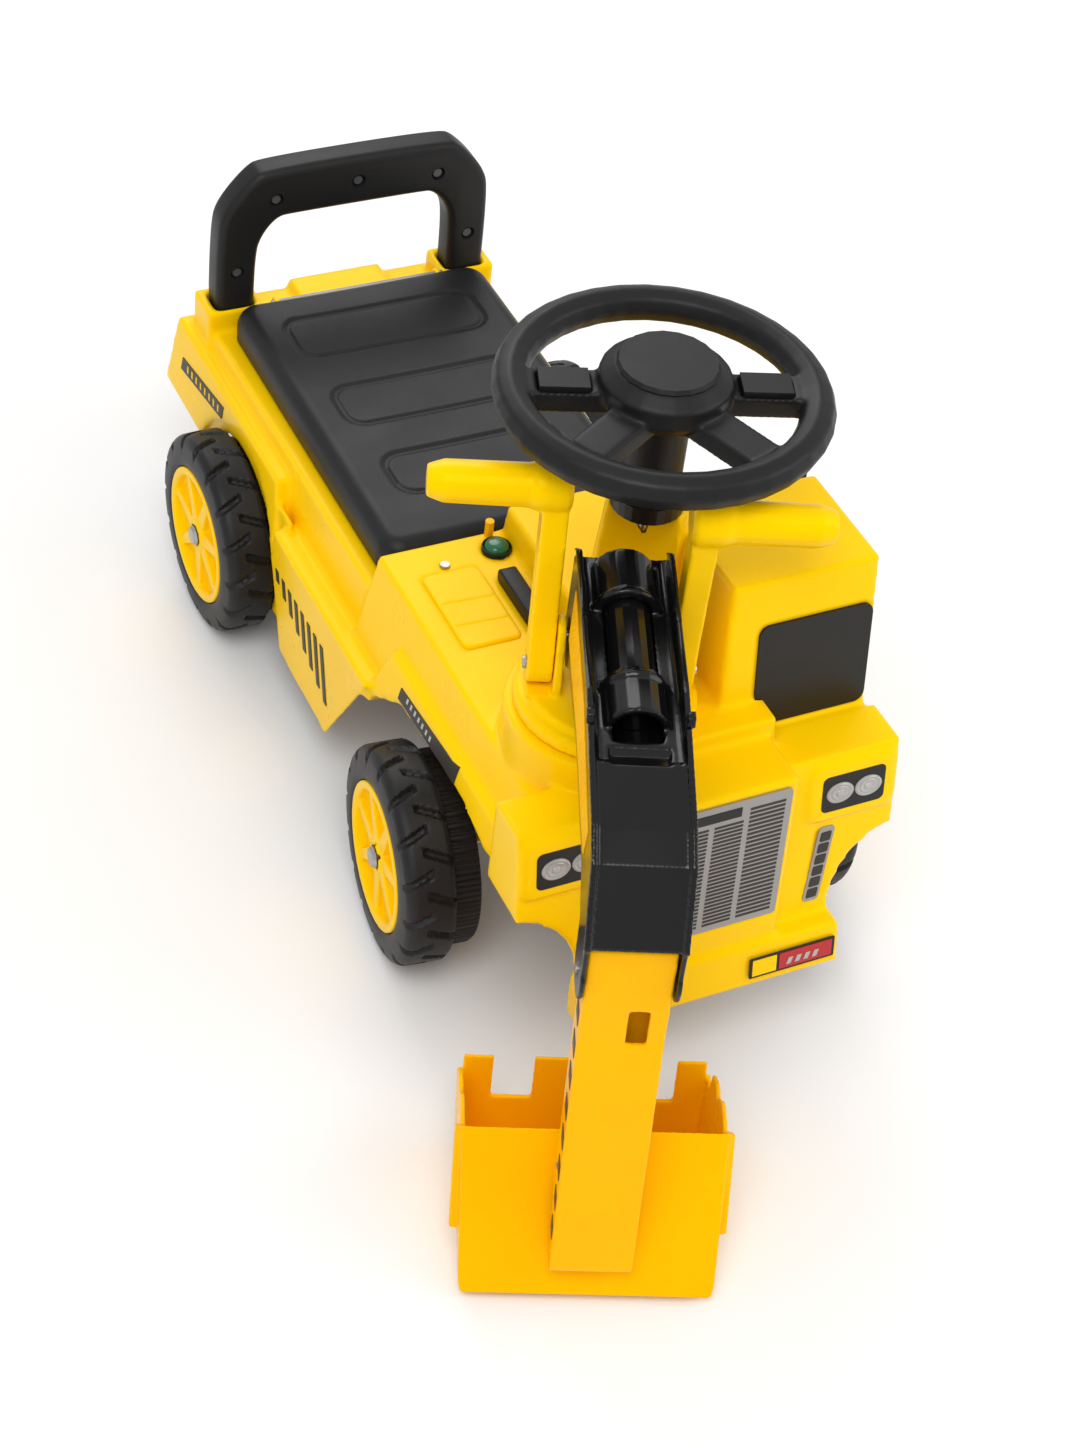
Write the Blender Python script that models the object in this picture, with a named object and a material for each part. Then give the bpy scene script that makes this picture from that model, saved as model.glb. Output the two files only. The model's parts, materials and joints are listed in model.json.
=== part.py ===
"""Ride-on toy backhoe loader: a foot-to-floor car with a front digger arm.

Units are metres. The car's own frame has x across (+x is the rider's left), y from the front axle towards
the back, and z up from the floor; ORIGIN moves that frame so that the world origin is the middle of the floor
under the whole toy. The arm's frame has s forward along the arm, e across it and z up, from the turntable.
"""

from math import cos, pi, radians, sin

import bmesh
import bpy
from mathutils import Matrix, Vector

# Driving dimensions of the car.
WALL = 0.0035
GAP = 0.0004
WHEEL_RADIUS = 0.0726
WHEEL_OUTER = 0.1566
WHEEL_INNER = 0.1040
TREAD_INNER = 0.1230
DRUM_RADIUS = 0.0640
RIM_RADIUS = 0.0500
SPOKES = 7
AXLE_RADIUS = 0.0040
WHEELBASE = 0.3403
AXLE_LEAD = 0.0080
TRACK_TURN = radians(-6.0)
ARCH_RADIUS = 0.0780
DRUM_ARCH_RADIUS = 0.0675
ARCH_WALL = (0.1175, 0.1213)
BODY_HALF = 0.1280
DECK_TOP = 0.2000
PLATEAU_TOP = 0.2340
CAB_TOP = 0.3170
LEDGE_TOP = 0.1730
PAN_BOTTOM = 0.0985
PAN_TOP = 0.1025
TAIL_Y = 0.4820
NOSE_HALF = 0.0460
NOSE_Z = (0.0650, 0.2240)
NOSE_Y = (-0.1660, -0.1530)
FASCIA_HALF = 0.1300
FASCIA_Z = (0.0930, 0.2125)
FASCIA_Y = (-0.1540, -0.1330)
BUMPER_Z = (0.0640, 0.0960)
BUMPER_Y = (-0.1730, -0.1670)
CAB_LEFT = (0.0170, 0.0240)

# Places on the console, as (x, y) or as spans.
BUTTON = (-0.0280, 0.1230)
COVER_SCREW = (-0.0670, 0.1180)
BLOCK_X = (-0.0400, -0.0280)
BLOCK_Y = (0.0400, 0.0960)

# The seat, the push handle and the steering.
SEAT_HALF = 0.0975
SEAT_FRONT = 0.1435
SEAT_BACK = 0.4345
SEAT_BOTTOM = 0.1755
SEAT_TOP = 0.2000
HINGE_Y = 0.4315
HINGE_Z = 0.1945
LUG_X = (0.0600, 0.0660)
HANDLE_FRONT = 0.4410
HANDLE_BACK = 0.4640
HANDLE_HALF = 0.1050
HANDLE_INNER = 0.0755
HANDLE_TOP = 0.2990
COLUMN_Y = -0.0060
COLUMN_TOP = 0.3330
SHAFT_RADIUS = 0.0050
WHEEL_PLANE = 0.4140
RING_RADIUS = 0.0900
RING_TUBE = 0.0112
STEERING_TURN = radians(-20.0)

# The digger arm.
TURN_X = -0.0430
TURN_Y = -0.0620
ARM_YAW = radians(22.6)
TABLE_RADIUS = 0.0560
TABLE_CLEARANCE = 0.0590
LEVER_CLEARANCE = 0.0665
PODIUM_RADIUS = 0.0612
BOOM_HALF = 0.0280
BOOM_WALL = 0.0028
BOOM_PIVOT = (0.0000, 0.2850)
RAM_Z = 0.3300
STICK_HALF = 0.0244
STICK_PIVOT = (0.2240, 0.2430)
BUCKET_HALF = 0.0795
BUCKET_WALL = 0.0028
BUCKET_TAPER = 0.0035
BUCKET_CORNER = 0.0090
BUCKET_PIVOT = (0.2430, 0.0940)
LEVER_PIVOT = (0.0000, 0.2620)
LEVER_INNER = 0.0345
LEVER_OUTER = 0.0500
LEVER_LENGTH = 0.1180
GRIP_END = 0.1170
GRIP_RADIUS = 0.0140
LEVER_TILT = {"right": radians(-11.0), "left": radians(2.0)}

# The world origin in the car's frame.
ORIGIN = Vector((-0.0274, 0.0725, 0.0))

SIDES = {"right": -1, "left": 1}


def clear_scene():
    for obj in list(bpy.data.objects):
        bpy.data.objects.remove(obj, do_unlink=True)


def finish(name, colour, roughness, metallic=0.0):
    """A plain Principled finish."""
    material = bpy.data.materials.new(name)
    material.use_nodes = True
    shader = material.node_tree.nodes["Principled BSDF"]
    shader.inputs["Base Color"].default_value = (*colour, 1.0)
    shader.inputs["Roughness"].default_value = roughness
    shader.inputs["Metallic"].default_value = metallic
    return material


clear_scene()
YELLOW = finish("yellow_plastic", (1.0, 0.52, 0.0), 0.32)
ORANGE = finish("orange_yellow_plastic", (1.0, 0.42, 0.0), 0.34)
BLACK = finish("satin_black_plastic", (0.018, 0.018, 0.020), 0.45)
GLOSS_BLACK = finish("gloss_black_plastic", (0.008, 0.008, 0.009), 0.18)
TYRE = finish("blown_black_plastic", (0.012, 0.012, 0.013), 0.55)
GREY = finish("grey_decal", (0.33, 0.31, 0.31), 0.40)
GREEN = finish("green_button", (0.0, 0.22, 0.09), 0.35)
STEEL = finish("zinc_steel", (0.55, 0.55, 0.56), 0.35, 1.0)
PAN_BLACK = finish("pan_black_plastic", (0.02, 0.02, 0.02), 0.60)


# Mesh helpers.
def mesh_object(name, verts, faces):
    mesh = bpy.data.meshes.new(name)
    mesh.from_pydata([tuple(v) for v in verts], [], faces)
    shape = bmesh.new()
    shape.from_mesh(mesh)
    bmesh.ops.remove_doubles(shape, verts=shape.verts, dist=1e-6)
    bmesh.ops.recalc_face_normals(shape, faces=shape.faces)
    if shape.calc_volume(signed=True) < 0:
        bmesh.ops.reverse_faces(shape, faces=shape.faces)
    shape.to_mesh(mesh)
    shape.free()
    obj = bpy.data.objects.new(name, mesh)
    bpy.context.scene.collection.objects.link(obj)
    return obj


def loft(name, rings):
    """A closed body through rings of equal length, with flat ends."""
    count = len(rings[0])
    verts = [point for ring in rings for point in ring]
    faces = []
    for row in range(len(rings) - 1):
        for i in range(count):
            j = (i + 1) % count
            faces.append((row * count + i, row * count + j, (row + 1) * count + j, (row + 1) * count + i))
    faces.append(tuple(reversed(range(count))))
    faces.append(tuple(range((len(rings) - 1) * count, len(rings) * count)))
    return mesh_object(name, verts, faces)


def rect(x0, x1, y0, y1, z):
    return [(x0, y0, z), (x1, y0, z), (x1, y1, z), (x0, y1, z)]


def block(name, x0, x1, y0, y1, z0, z1):
    return loft(name, [rect(x0, x1, y0, y1, z0), rect(x0, x1, y0, y1, z1)])


def slab_x(name, outline, x0, x1):
    """A (y, z) outline extruded across the car."""
    return loft(name, [[(x, y, z) for y, z in outline] for x in (x0, x1)])


def slab_y(name, outline, y0, y1):
    return loft(name, [[(x, y, z) for x, z in outline] for y in (y0, y1)])


def circle(radius, count, cx=0.0, cy=0.0, start=0.0):
    return [(cx + radius * cos(start + 2 * pi * i / count), cy + radius * sin(start + 2 * pi * i / count))
            for i in range(count)]


def turned(name, profile, count=32):
    """A (radius, height) profile turned about z; a closed loop where it leaves the axis."""
    if profile[0][0] > 0 and profile[-1][0] > 0:
        rings = [[(r * cos(2 * pi * i / count), r * sin(2 * pi * i / count), h) for i in range(count)]
                 for r, h in profile]
        verts = [point for ring in rings for point in ring]
        faces = []
        rows = len(rings)
        for row in range(rows):
            nxt = (row + 1) % rows
            for i in range(count):
                j = (i + 1) % count
                faces.append((row * count + i, row * count + j, nxt * count + j, nxt * count + i))
        return mesh_object(name, verts, faces)
    verts = []
    faces = []
    rows = []
    for r, h in profile:
        if r == 0:
            rows.append([len(verts)])
            verts.append((0, 0, h))
        else:
            rows.append(list(range(len(verts), len(verts) + count)))
            verts.extend((r * cos(2 * pi * i / count), r * sin(2 * pi * i / count), h) for i in range(count))
    for lower, upper in zip(rows, rows[1:]):
        for i in range(count):
            j = (i + 1) % count
            loop = [lower[i % len(lower)], lower[j % len(lower)], upper[j % len(upper)], upper[i % len(upper)]]
            faces.append(tuple(dict.fromkeys(loop)))
    return mesh_object(name, verts, faces)


def placed(obj, matrix):
    obj.data.transform(matrix)
    return obj


def along_x(x=0.0, y=0.0, z=0.0, side=1):
    """Turns a z-axis piece to lie along x, its +z end at +x (or -x)."""
    return Matrix.Translation((x, y, z)) @ Matrix.Rotation(side * pi / 2, 4, "Y")


def along_y(x=0.0, y=0.0, z=0.0):
    """Turns a z-axis piece to lie along y, its +z end at -y."""
    return Matrix.Translation((x, y, z)) @ Matrix.Rotation(pi / 2, 4, "X")


def rod(name, radius, z0, z1, count=16):
    return turned(name, [(0, z0), (radius, z0), (radius, z1), (0, z1)], count)


def tube_ring(name, outer, inner, z0, z1, count=24):
    return turned(name, [(outer, z0), (outer, z1), (inner, z1), (inner, z0)], count)


def combine(target, others, operation):
    """Applies a Boolean with each of the others, then removes them."""
    for other in others:
        modifier = target.modifiers.new("cut", "BOOLEAN")
        modifier.operation = operation
        modifier.solver = "EXACT"
        modifier.object = other
        graph = bpy.context.evaluated_depsgraph_get()
        mesh = bpy.data.meshes.new_from_object(target.evaluated_get(graph))
        target.modifiers.remove(modifier)
        target.data = mesh
        bpy.data.objects.remove(other, do_unlink=True)
    return target


def union(target, *others):
    return combine(target, others, "UNION")


def cut(target, *others):
    return combine(target, others, "DIFFERENCE")


def mirrored(maker):
    """Both sides' copies of what maker(side) makes."""
    return [maker(side) for side in SIDES.values()]


# Frames: every piece hangs on the car frame, moving ones on an empty at their joint.
def empty(name, location, parent=None, turn=0.0):
    obj = bpy.data.objects.new(name, None)
    obj.location = location
    obj.rotation_euler = (0, 0, turn)
    obj.parent = parent
    bpy.context.scene.collection.objects.link(obj)
    return obj


car = empty("car_frame", -ORIGIN)
arm_base = empty("arm_frame", (TURN_X, TURN_Y, 0), car, -ARM_YAW - pi / 2)


def keep(obj, material, parent=car, smooth=False):
    obj.data.materials.clear()
    obj.data.materials.append(material)
    obj.parent = parent
    if smooth:
        obj.data.shade_smooth()
        obj.data.set_sharp_from_angle(angle=radians(35))
    return obj


def pivoted(name, parent, location):
    return empty(name, location, parent)


def on_pivot(obj, pivot, material, smooth=False):
    """Keeps a piece drawn in its parent frame, with its origin moved to the pivot."""
    obj.data.transform(Matrix.Translation(-Vector(pivot.location)))
    return keep(obj, material, pivot, smooth)


# The body shell: outer volumes joined, their inset copies taken out, then openings.
def tapered(name, low, high, z0, z1):
    """A block whose bottom and top rectangles are (x0, x1, y0, y1)."""
    return loft(name, [rect(*low, z0), rect(*high, z1)])


def shell_volumes():
    """(bottom rectangle, top rectangle, bottom z, top z) of each outer volume."""
    half = BODY_HALF
    nose = NOSE_HALF
    fascia = FASCIA_HALF
    return [
        ((-0.118, 0.118, 0.130, TAIL_Y), (-0.108, 0.108, 0.130, TAIL_Y - 0.006), 0.1040, LEDGE_TOP),
        ((-half, half, 0.262, TAIL_Y + 0.004), (-0.120, 0.120, 0.278, TAIL_Y), 0.1040, 0.1600),
        ((-half, half, -0.140, 0.100), (-0.117, 0.117, -0.120, 0.084), 0.1200, 0.1700),
        ((-0.122, 0.122, -0.150, 0.1415), (-0.104, 0.104, -0.120, 0.1415), 0.1200, DECK_TOP),
        ((-fascia, fascia, FASCIA_Y[0], -0.100), (-fascia, fascia, FASCIA_Y[1], -0.100), *FASCIA_Z),
        ((-0.0915, 0.0915, BUMPER_Y[0], -0.120), (-0.0900, 0.0900, BUMPER_Y[1], -0.120), *BUMPER_Z),
        ((-nose, nose, NOSE_Y[0], -0.105), (-nose, nose, NOSE_Y[1], -0.105), *NOSE_Z),
        ((CAB_LEFT[0], 0.125, -0.104, 0.012), (CAB_LEFT[1], 0.1245, -0.0790, 0.004), 0.1600, CAB_TOP),
        ((-0.020, 0.118, -0.020, 0.1415), (-0.016, 0.110, -0.020, 0.1380), 0.1600, 0.2220),
        ((-0.043, 0.060, -0.1160, 0.010), (-0.043, 0.050, -0.1120, -0.010), 0.1500, PLATEAU_TOP),
        ((-0.040, 0.040, 0.4440, TAIL_Y - 0.001), (-0.036, 0.036, 0.4500, TAIL_Y - 0.004), 0.1500, 0.1790),
    ]


def skirt(side, inset=0.0):
    outline = [(0.090 + inset, 0.1360 - inset), (0.152 + inset * 0.6, 0.0376 - inset * 9),
               (0.239 - inset * 0.6, 0.0400 - inset * 9), (0.262 - inset, 0.1100), (0.258 - inset, 0.1360 - inset)]
    near, far = 0.0900, 0.1300
    return slab_x("skirt", outline, side * near, side * (far - inset))


def hinge_lug(side):
    """Carries one end of the seat's hinge pin."""
    return block("lug", side * LUG_X[0], side * LUG_X[1], HINGE_Y - 0.0045, HINGE_Y + 0.0060,
                 0.1600, HINGE_Z + 0.0030)


def arch_wall(side):
    """The upright wall behind a rear tyre's tread, which hides the wheel's inner drum."""
    outline = [(0.2500, 0.0480), (0.2720, 0.0440), (0.3300, 0.0440), (0.3900, 0.1080), (0.4300, 0.1080),
               (0.4300, 0.1450), (0.2500, 0.1450)]
    return slab_x("arch_wall", outline, side * ARCH_WALL[0], side * ARCH_WALL[1])


def podium(radius, top):
    """The round base that the turntable stands on."""
    return placed(rod("podium", radius, 0.1500, top, 40), Matrix.Translation((TURN_X, TURN_Y, 0)))


def body_shell():
    outer = [tapered("volume", *volume) for volume in shell_volumes()]
    outer += mirrored(skirt)
    outer += mirrored(lambda side: block("socket", side * 0.0700, side * 0.1125, 0.4365, 0.4700,
                                         0.150, 0.1900))
    outer.append(placed(turned("cone", [(0, 0.15), (0.036, 0.15), (0.033, 0.22), (0.0245, COLUMN_TOP),
                                        (0, COLUMN_TOP)], 32), Matrix.Translation((0, COLUMN_Y, 0))))
    outer += mirrored(hinge_lug)
    outer.append(podium(PODIUM_RADIUS, PLATEAU_TOP))
    body = union(outer[0], *outer[1:])
    inner = []
    for low, high, z0, z1 in shell_volumes():
        shrink = (WALL, -WALL, WALL, -WALL)
        inner.append(tapered("hollow", [a + b for a, b in zip(low, shrink)],
                             [a + b for a, b in zip(high, shrink)], z0 - 0.030, z1 - WALL))
    inner += mirrored(lambda side: skirt(side, WALL))
    inner.append(podium(PODIUM_RADIUS - WALL, PLATEAU_TOP - WALL))
    cut(body, *inner)
    return union(body, *mirrored(arch_wall))


def front_arch(side):
    """The opening over a steered front wheel."""
    outline = [(0.124, -0.02), (0.120, 0.060), (0.088, 0.1280), (0.055, 0.1480), (0.0, 0.1530), (-0.050, 0.1510),
               (-0.085, 0.1430), (-0.1400, 0.1430), (-0.1400, -0.02)]
    return slab_x("front_arch", outline, side * 0.0660, side * 0.200)


def front_arch_corner(side):
    """The round bite in the lower corner of the front face, clear of the steered tyre."""
    upper = [(0.1400 + 0.0520 * cos(pi * i / 12), 0.0985 + 0.0520 * sin(pi * i / 12)) for i in range(13)]
    bite = [(side * x, z) for x, z in upper + [(0.0880, FASCIA_Z[0]), (0.1920, FASCIA_Z[0])]]
    return slab_y("bite", bite, -0.200, -0.080)


def cut_body_openings(shell):
    tools = mirrored(front_arch) + mirrored(front_arch_corner)
    tools += mirrored(lambda side: slab_x("rear_arch", circle(ARCH_RADIUS, 28, WHEELBASE, WHEEL_RADIUS),
                                          side * ARCH_WALL[1], side * 0.200))
    tools += mirrored(lambda side: slab_x("drum_arch", circle(DRUM_ARCH_RADIUS, 28, WHEELBASE, WHEEL_RADIUS),
                                          side * 0.0660, side * 0.1300))
    # The lamp, grille, vent, window and battery recesses are as deep as the panels that sit in them.
    tools += mirrored(lambda side: lamp_block(side, 0.0003, 0.001))
    tools += mirrored(lambda side: vent_block(side, 0.0003, 0.001))
    tools.append(grille_block(0.0003, 0.001))
    tools.append(window_block(0.0003, 0.001))
    tools.append(block("cover_well", -0.0876, -0.0464, 0.0386, 0.1124, DECK_TOP - 0.0016, DECK_TOP + 0.002))
    tools.append(block("block_well", BLOCK_X[0] - 0.0004, BLOCK_X[1] + 0.0004, BLOCK_Y[0] - 0.0004,
                       BLOCK_Y[1] + 0.0004, DECK_TOP - 0.0016, DECK_TOP + 0.004))
    tools.append(placed(rod("button_hole", 0.0092, -0.02, 0.01, 20), Matrix.Translation((*BUTTON, DECK_TOP))))
    tools.append(placed(rod("screw_hole", 0.0022, -0.02, 0.01, 12), Matrix.Translation((*COVER_SCREW, DECK_TOP))))
    # The swing space of the arm's levers, hollowed into the cab and the column housing.
    space = [(0, PLATEAU_TOP), (TABLE_CLEARANCE, PLATEAU_TOP), (LEVER_CLEARANCE, 0.3400), (0, 0.3400)]
    tools.append(placed(turned("lever_space", space, 40), Matrix.Translation((TURN_X, TURN_Y, 0))))
    tools.append(placed(rod("spindle_hole", 0.0094, 0.18, 0.25, 20), Matrix.Translation((TURN_X, TURN_Y, 0))))
    tools.append(placed(rod("shaft_hole", SHAFT_RADIUS + 0.0005, 0.10, 0.40, 20),
                        Matrix.Translation((0, COLUMN_Y, 0))))
    # The storage opening under the seat and the slots of the push handle's legs.
    tools.append(block("storage_opening", -0.0820, 0.0820, 0.165, 0.400, 0.150, 0.20))
    tools += mirrored(lambda side: block("leg_slot", side * (HANDLE_INNER - GAP), side * (HANDLE_HALF + GAP),
                                         HANDLE_FRONT - GAP, HANDLE_BACK + GAP, 0.1500, 0.20))
    tools.append(placed(rod("pin_hole", 0.0022, -0.07, 0.07, 12), along_x(0, HINGE_Y, HINGE_Z)))
    # What the wheel arches leave standing loose behind the bumper.
    tools += mirrored(lambda side: block("bumper_rest", side * 0.0400, side * 0.0680, -0.1255, -0.1180,
                                         BUMPER_Z[0] - 0.004, BUMPER_Z[1] + 0.002))
    return cut(shell, *tools)


def leaning_face(z, y_span, z_span):
    """How far forward a leaning face stands at a height, from its (bottom, top) y and z."""
    return y_span[0] + (z - z_span[0]) * (y_span[1] - y_span[0]) / (z_span[1] - z_span[0])


def on_fascia(z):
    return leaning_face(z, FASCIA_Y, FASCIA_Z)


def on_nose(z):
    return leaning_face(z, NOSE_Y, NOSE_Z)


def on_bumper(z):
    return leaning_face(z, BUMPER_Y, BUMPER_Z)


def on_cab(z):
    return leaning_face(z, (-0.1040, -0.0790), (0.1600, CAB_TOP))


def leaning_plate(name, face, x0, x1, z0, z1, deep, proud):
    """A plate let into a leaning front face, deep behind it and proud of it."""
    rings = []
    for x in (x0, x1):
        rings.append([(x, face(z0) + deep, z0), (x, face(z1) + deep, z1), (x, face(z1) - proud, z1),
                      (x, face(z0) - proud, z0)])
    return loft(name, rings)


def lamp_block(side, grow=0.0, proud=0.0004):
    return leaning_plate("lamp", on_fascia, side * (0.0745 - grow), side * (0.1190 + grow), 0.1730 - grow,
                         0.1990 + grow, 0.0012 + grow, proud)


def vent_block(side, grow=0.0, proud=0.0004):
    return leaning_plate("vent", on_fascia, side * (0.0730 - grow), side * (0.0830 + grow), 0.1060 - grow,
                         0.1590 + grow, 0.0012 + grow, proud)


def grille_block(grow=0.0, proud=0.0004):
    return leaning_plate("grille", on_nose, -0.0430 - grow, 0.0415 + grow, 0.1160 - grow, 0.2190 + grow,
                         0.0012 + grow, proud)


def window_block(grow=0.0, proud=0.0006):
    return leaning_plate("window", on_cab, 0.0440 - grow, 0.1235 + grow, 0.2150 - grow, 0.2860 + grow,
                         0.0014 + grow, proud)


# Pieces fixed to the body.
def body_pieces():
    shell = keep(cut_body_openings(body_shell()), YELLOW)
    shell.name = "body_shell"
    for word, side in SIDES.items():
        keep(lamp_block(side), BLACK).name = f"headlight_{word}"
        keep(vent_block(side), GREY).name = f"side_vent_{word}"
    keep(grille_block(), GREY).name = "grille_panel"
    keep(window_block(), BLACK).name = "cab_window_panel"
    keep(leaning_plate("label_plate", on_bumper, 0.0250, 0.0860, 0.0715, 0.0875, -0.0003, 0.0018), GREY)
    cover = block("battery_cover", -0.0872, -0.0468, 0.0390, 0.1120, DECK_TOP - 0.0012, DECK_TOP + 0.0008)
    keep(cover, YELLOW)
    screw = turned("battery_cover_screw", [(0, -0.0100), (0.0016, -0.0100), (0.0016, 0.0003), (0.0036, 0.0003),
                                           (0.0032, 0.0018), (0, 0.0018)], 10)
    keep(placed(screw, Matrix.Translation((*COVER_SCREW, DECK_TOP))), STEEL, smooth=True)
    low = (BLOCK_X[0], BLOCK_X[1], BLOCK_Y[0], BLOCK_Y[1])
    high = (BLOCK_X[0] + 0.0010, BLOCK_X[1] - 0.0010, BLOCK_Y[0] + 0.006, BLOCK_Y[1] - 0.004)
    keep(tapered("console_block", low, high, DECK_TOP - 0.0012, DECK_TOP + 0.0095), BLACK)
    bezel = tube_ring("button_bezel", 0.0102, 0.0088, 0.0003, 0.0030, 20)
    keep(placed(bezel, Matrix.Translation((*BUTTON, DECK_TOP))), BLACK, smooth=True)
    peg = rod("seat_peg", 0.0030, DECK_TOP + 0.0003, DECK_TOP + 0.0120, 12)
    keep(placed(peg, Matrix.Translation((-0.0270, 0.1380, 0))), ORANGE, smooth=True)
    collar = tube_ring("column_collar", 0.0225, SHAFT_RADIUS + 0.0006, COLUMN_TOP + 0.0003,
                       COLUMN_TOP + 0.0110, 28)
    keep(placed(collar, Matrix.Translation((0, COLUMN_Y, 0))), BLACK, smooth=True)
    keep(dashboard(), BLACK)
    keep(storage_tray(), PAN_BLACK)
    keep(chassis_pan(), PAN_BLACK)
    pin = placed(rod("seat_hinge_pin", 0.0018, -0.0670, 0.0670, 12), along_x(0, HINGE_Y, HINGE_Z))
    keep(pin, STEEL, smooth=True)
    axle = placed(rod("rear_axle", AXLE_RADIUS, -0.1560, 0.1560), along_x(0, WHEELBASE, WHEEL_RADIUS))
    keep(axle, STEEL, smooth=True)


def dashboard():
    """The dark strip along the back edge of the cab's top."""
    return block("dashboard_strip", 0.0400, 0.1200, 0.0058, 0.0120, CAB_TOP - 0.0300, CAB_TOP - 0.0010)


def storage_tray():
    tray = block("storage_tray", -0.0815, 0.0815, 0.1655, 0.3995, 0.1063, LEDGE_TOP + 0.0018)
    flange = block("flange", -0.0880, 0.0880, 0.1590, 0.4060, LEDGE_TOP + 0.0003, LEDGE_TOP + 0.0018)
    return cut(union(tray, flange), block("well", -0.0793, 0.0793, 0.1677, 0.3973, 0.1085, 0.20))


def chassis_pan():
    """The flat floor that closes the body from below and carries the rear axle."""
    pan = block("chassis_pan", -0.0885, 0.0885, 0.1300, 0.4500, PAN_BOTTOM, PAN_TOP)
    tongue = block("tongue", -0.0600, 0.0600, -0.1100, 0.1400, PAN_BOTTOM, PAN_TOP)
    posts = [placed(rod("post", 0.0050, PAN_BOTTOM, LEDGE_TOP - WALL - 0.0004, 14), Matrix.Translation((x, y, 0)))
             for x in (-0.0960 + 0.0130, 0.0830) for y in (0.1500, 0.4200)]
    carriers = mirrored(lambda side: block("carrier", side * 0.0740, side * 0.0830, WHEELBASE - 0.0100,
                                           WHEELBASE + 0.0100, WHEEL_RADIUS - 0.0120, PAN_BOTTOM + 0.0010))
    shaft_hole = placed(rod("shaft_hole", 0.0090, 0, 0.2, 20), Matrix.Translation((0, COLUMN_Y, 0)))
    axle_hole = placed(rod("axle_hole", AXLE_RADIUS + 0.0003, -0.1, 0.1), along_x(0, WHEELBASE, WHEEL_RADIUS))
    return cut(union(pan, tongue, *posts, *carriers), shaft_hole, axle_hole)


# The seat lid, hinged along the top of its back edge.
def seat():
    pivot = pivoted("seat_pivot", car, (0, HINGE_Y, HINGE_Z))
    lid = loft("seat_lid", [
        rect(-SEAT_HALF, SEAT_HALF, SEAT_FRONT, SEAT_BACK, SEAT_BOTTOM),
        rect(-SEAT_HALF + 0.002, SEAT_HALF - 0.002, SEAT_FRONT + 0.002, SEAT_BACK, SEAT_TOP - 0.0080),
        rect(-SEAT_HALF + 0.010, SEAT_HALF - 0.010, SEAT_FRONT + 0.010, SEAT_BACK - 0.002, SEAT_TOP)])
    hollow = block("hollow", -SEAT_HALF + 0.0035, SEAT_HALF - 0.0035, SEAT_FRONT + 0.0035, SEAT_BACK - 0.0110,
                   0.16, SEAT_TOP - 0.0110)
    slots = mirrored(lambda side: block("slot", side * (LUG_X[0] - 0.001), side * (LUG_X[1] + 0.001),
                                        HINGE_Y - 0.0085, SEAT_BACK + 0.01, 0.16, 0.21))
    hole = placed(rod("hole", 0.0022, -0.2, 0.2, 12), along_x(0, HINGE_Y, HINGE_Z))
    on_pivot(cut(lid, hollow, *slots, hole), pivot, BLACK)


# The push handle: two halves screwed together, its legs pushed into the body.
HANDLE_SCREWS = [(-0.0900, 0.2180), (-0.0620, 0.2740), (0.0, 0.2790), (0.0620, 0.2740), (0.0900, 0.2180)]


def handle_outline():
    outer = [(HANDLE_HALF, 0.1560), (HANDLE_HALF, 0.2500), (0.0985, 0.2710), (0.0770, 0.2945),
             (0.0670, HANDLE_TOP)]
    inner = [(HANDLE_INNER, 0.1560), (HANDLE_INNER, 0.2300), (0.0700, 0.2460), (0.0540, 0.2590)]
    half = outer[::-1] + inner
    return [(x, z) for x, z in half[::-1]] + [(-x, z) for x, z in half]


def push_handle():
    middle = (HANDLE_FRONT + HANDLE_BACK) / 2
    front = slab_y("handle_front_half", handle_outline(), HANDLE_FRONT, middle - 0.0002)
    rear = slab_y("handle_rear_half", handle_outline(), middle + 0.0002, HANDLE_BACK)
    for x, z in HANDLE_SCREWS:
        front = cut(front, placed(rod("well", 0.0046, -0.0040, 0.01, 12), along_y(x, HANDLE_FRONT, z)),
                    placed(rod("hole", 0.0020, -0.03, 0.01, 10), along_y(x, HANDLE_FRONT, z)))
        rear = cut(rear, placed(rod("hole", 0.0020, -0.0190, 0.01, 10), along_y(x, HANDLE_FRONT, z)))
    keep(front, BLACK)
    keep(rear, BLACK)
    for number, (x, z) in enumerate(HANDLE_SCREWS, 1):
        screw = turned(f"handle_screw_{number}", [(0, -0.0180), (0.0015, -0.0180), (0.0015, -0.0036),
                                                  (0.0036, -0.0036), (0.0034, -0.0016), (0, -0.0016)], 10)
        keep(placed(screw, along_y(x, HANDLE_FRONT, z)), BLACK, smooth=True)


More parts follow.
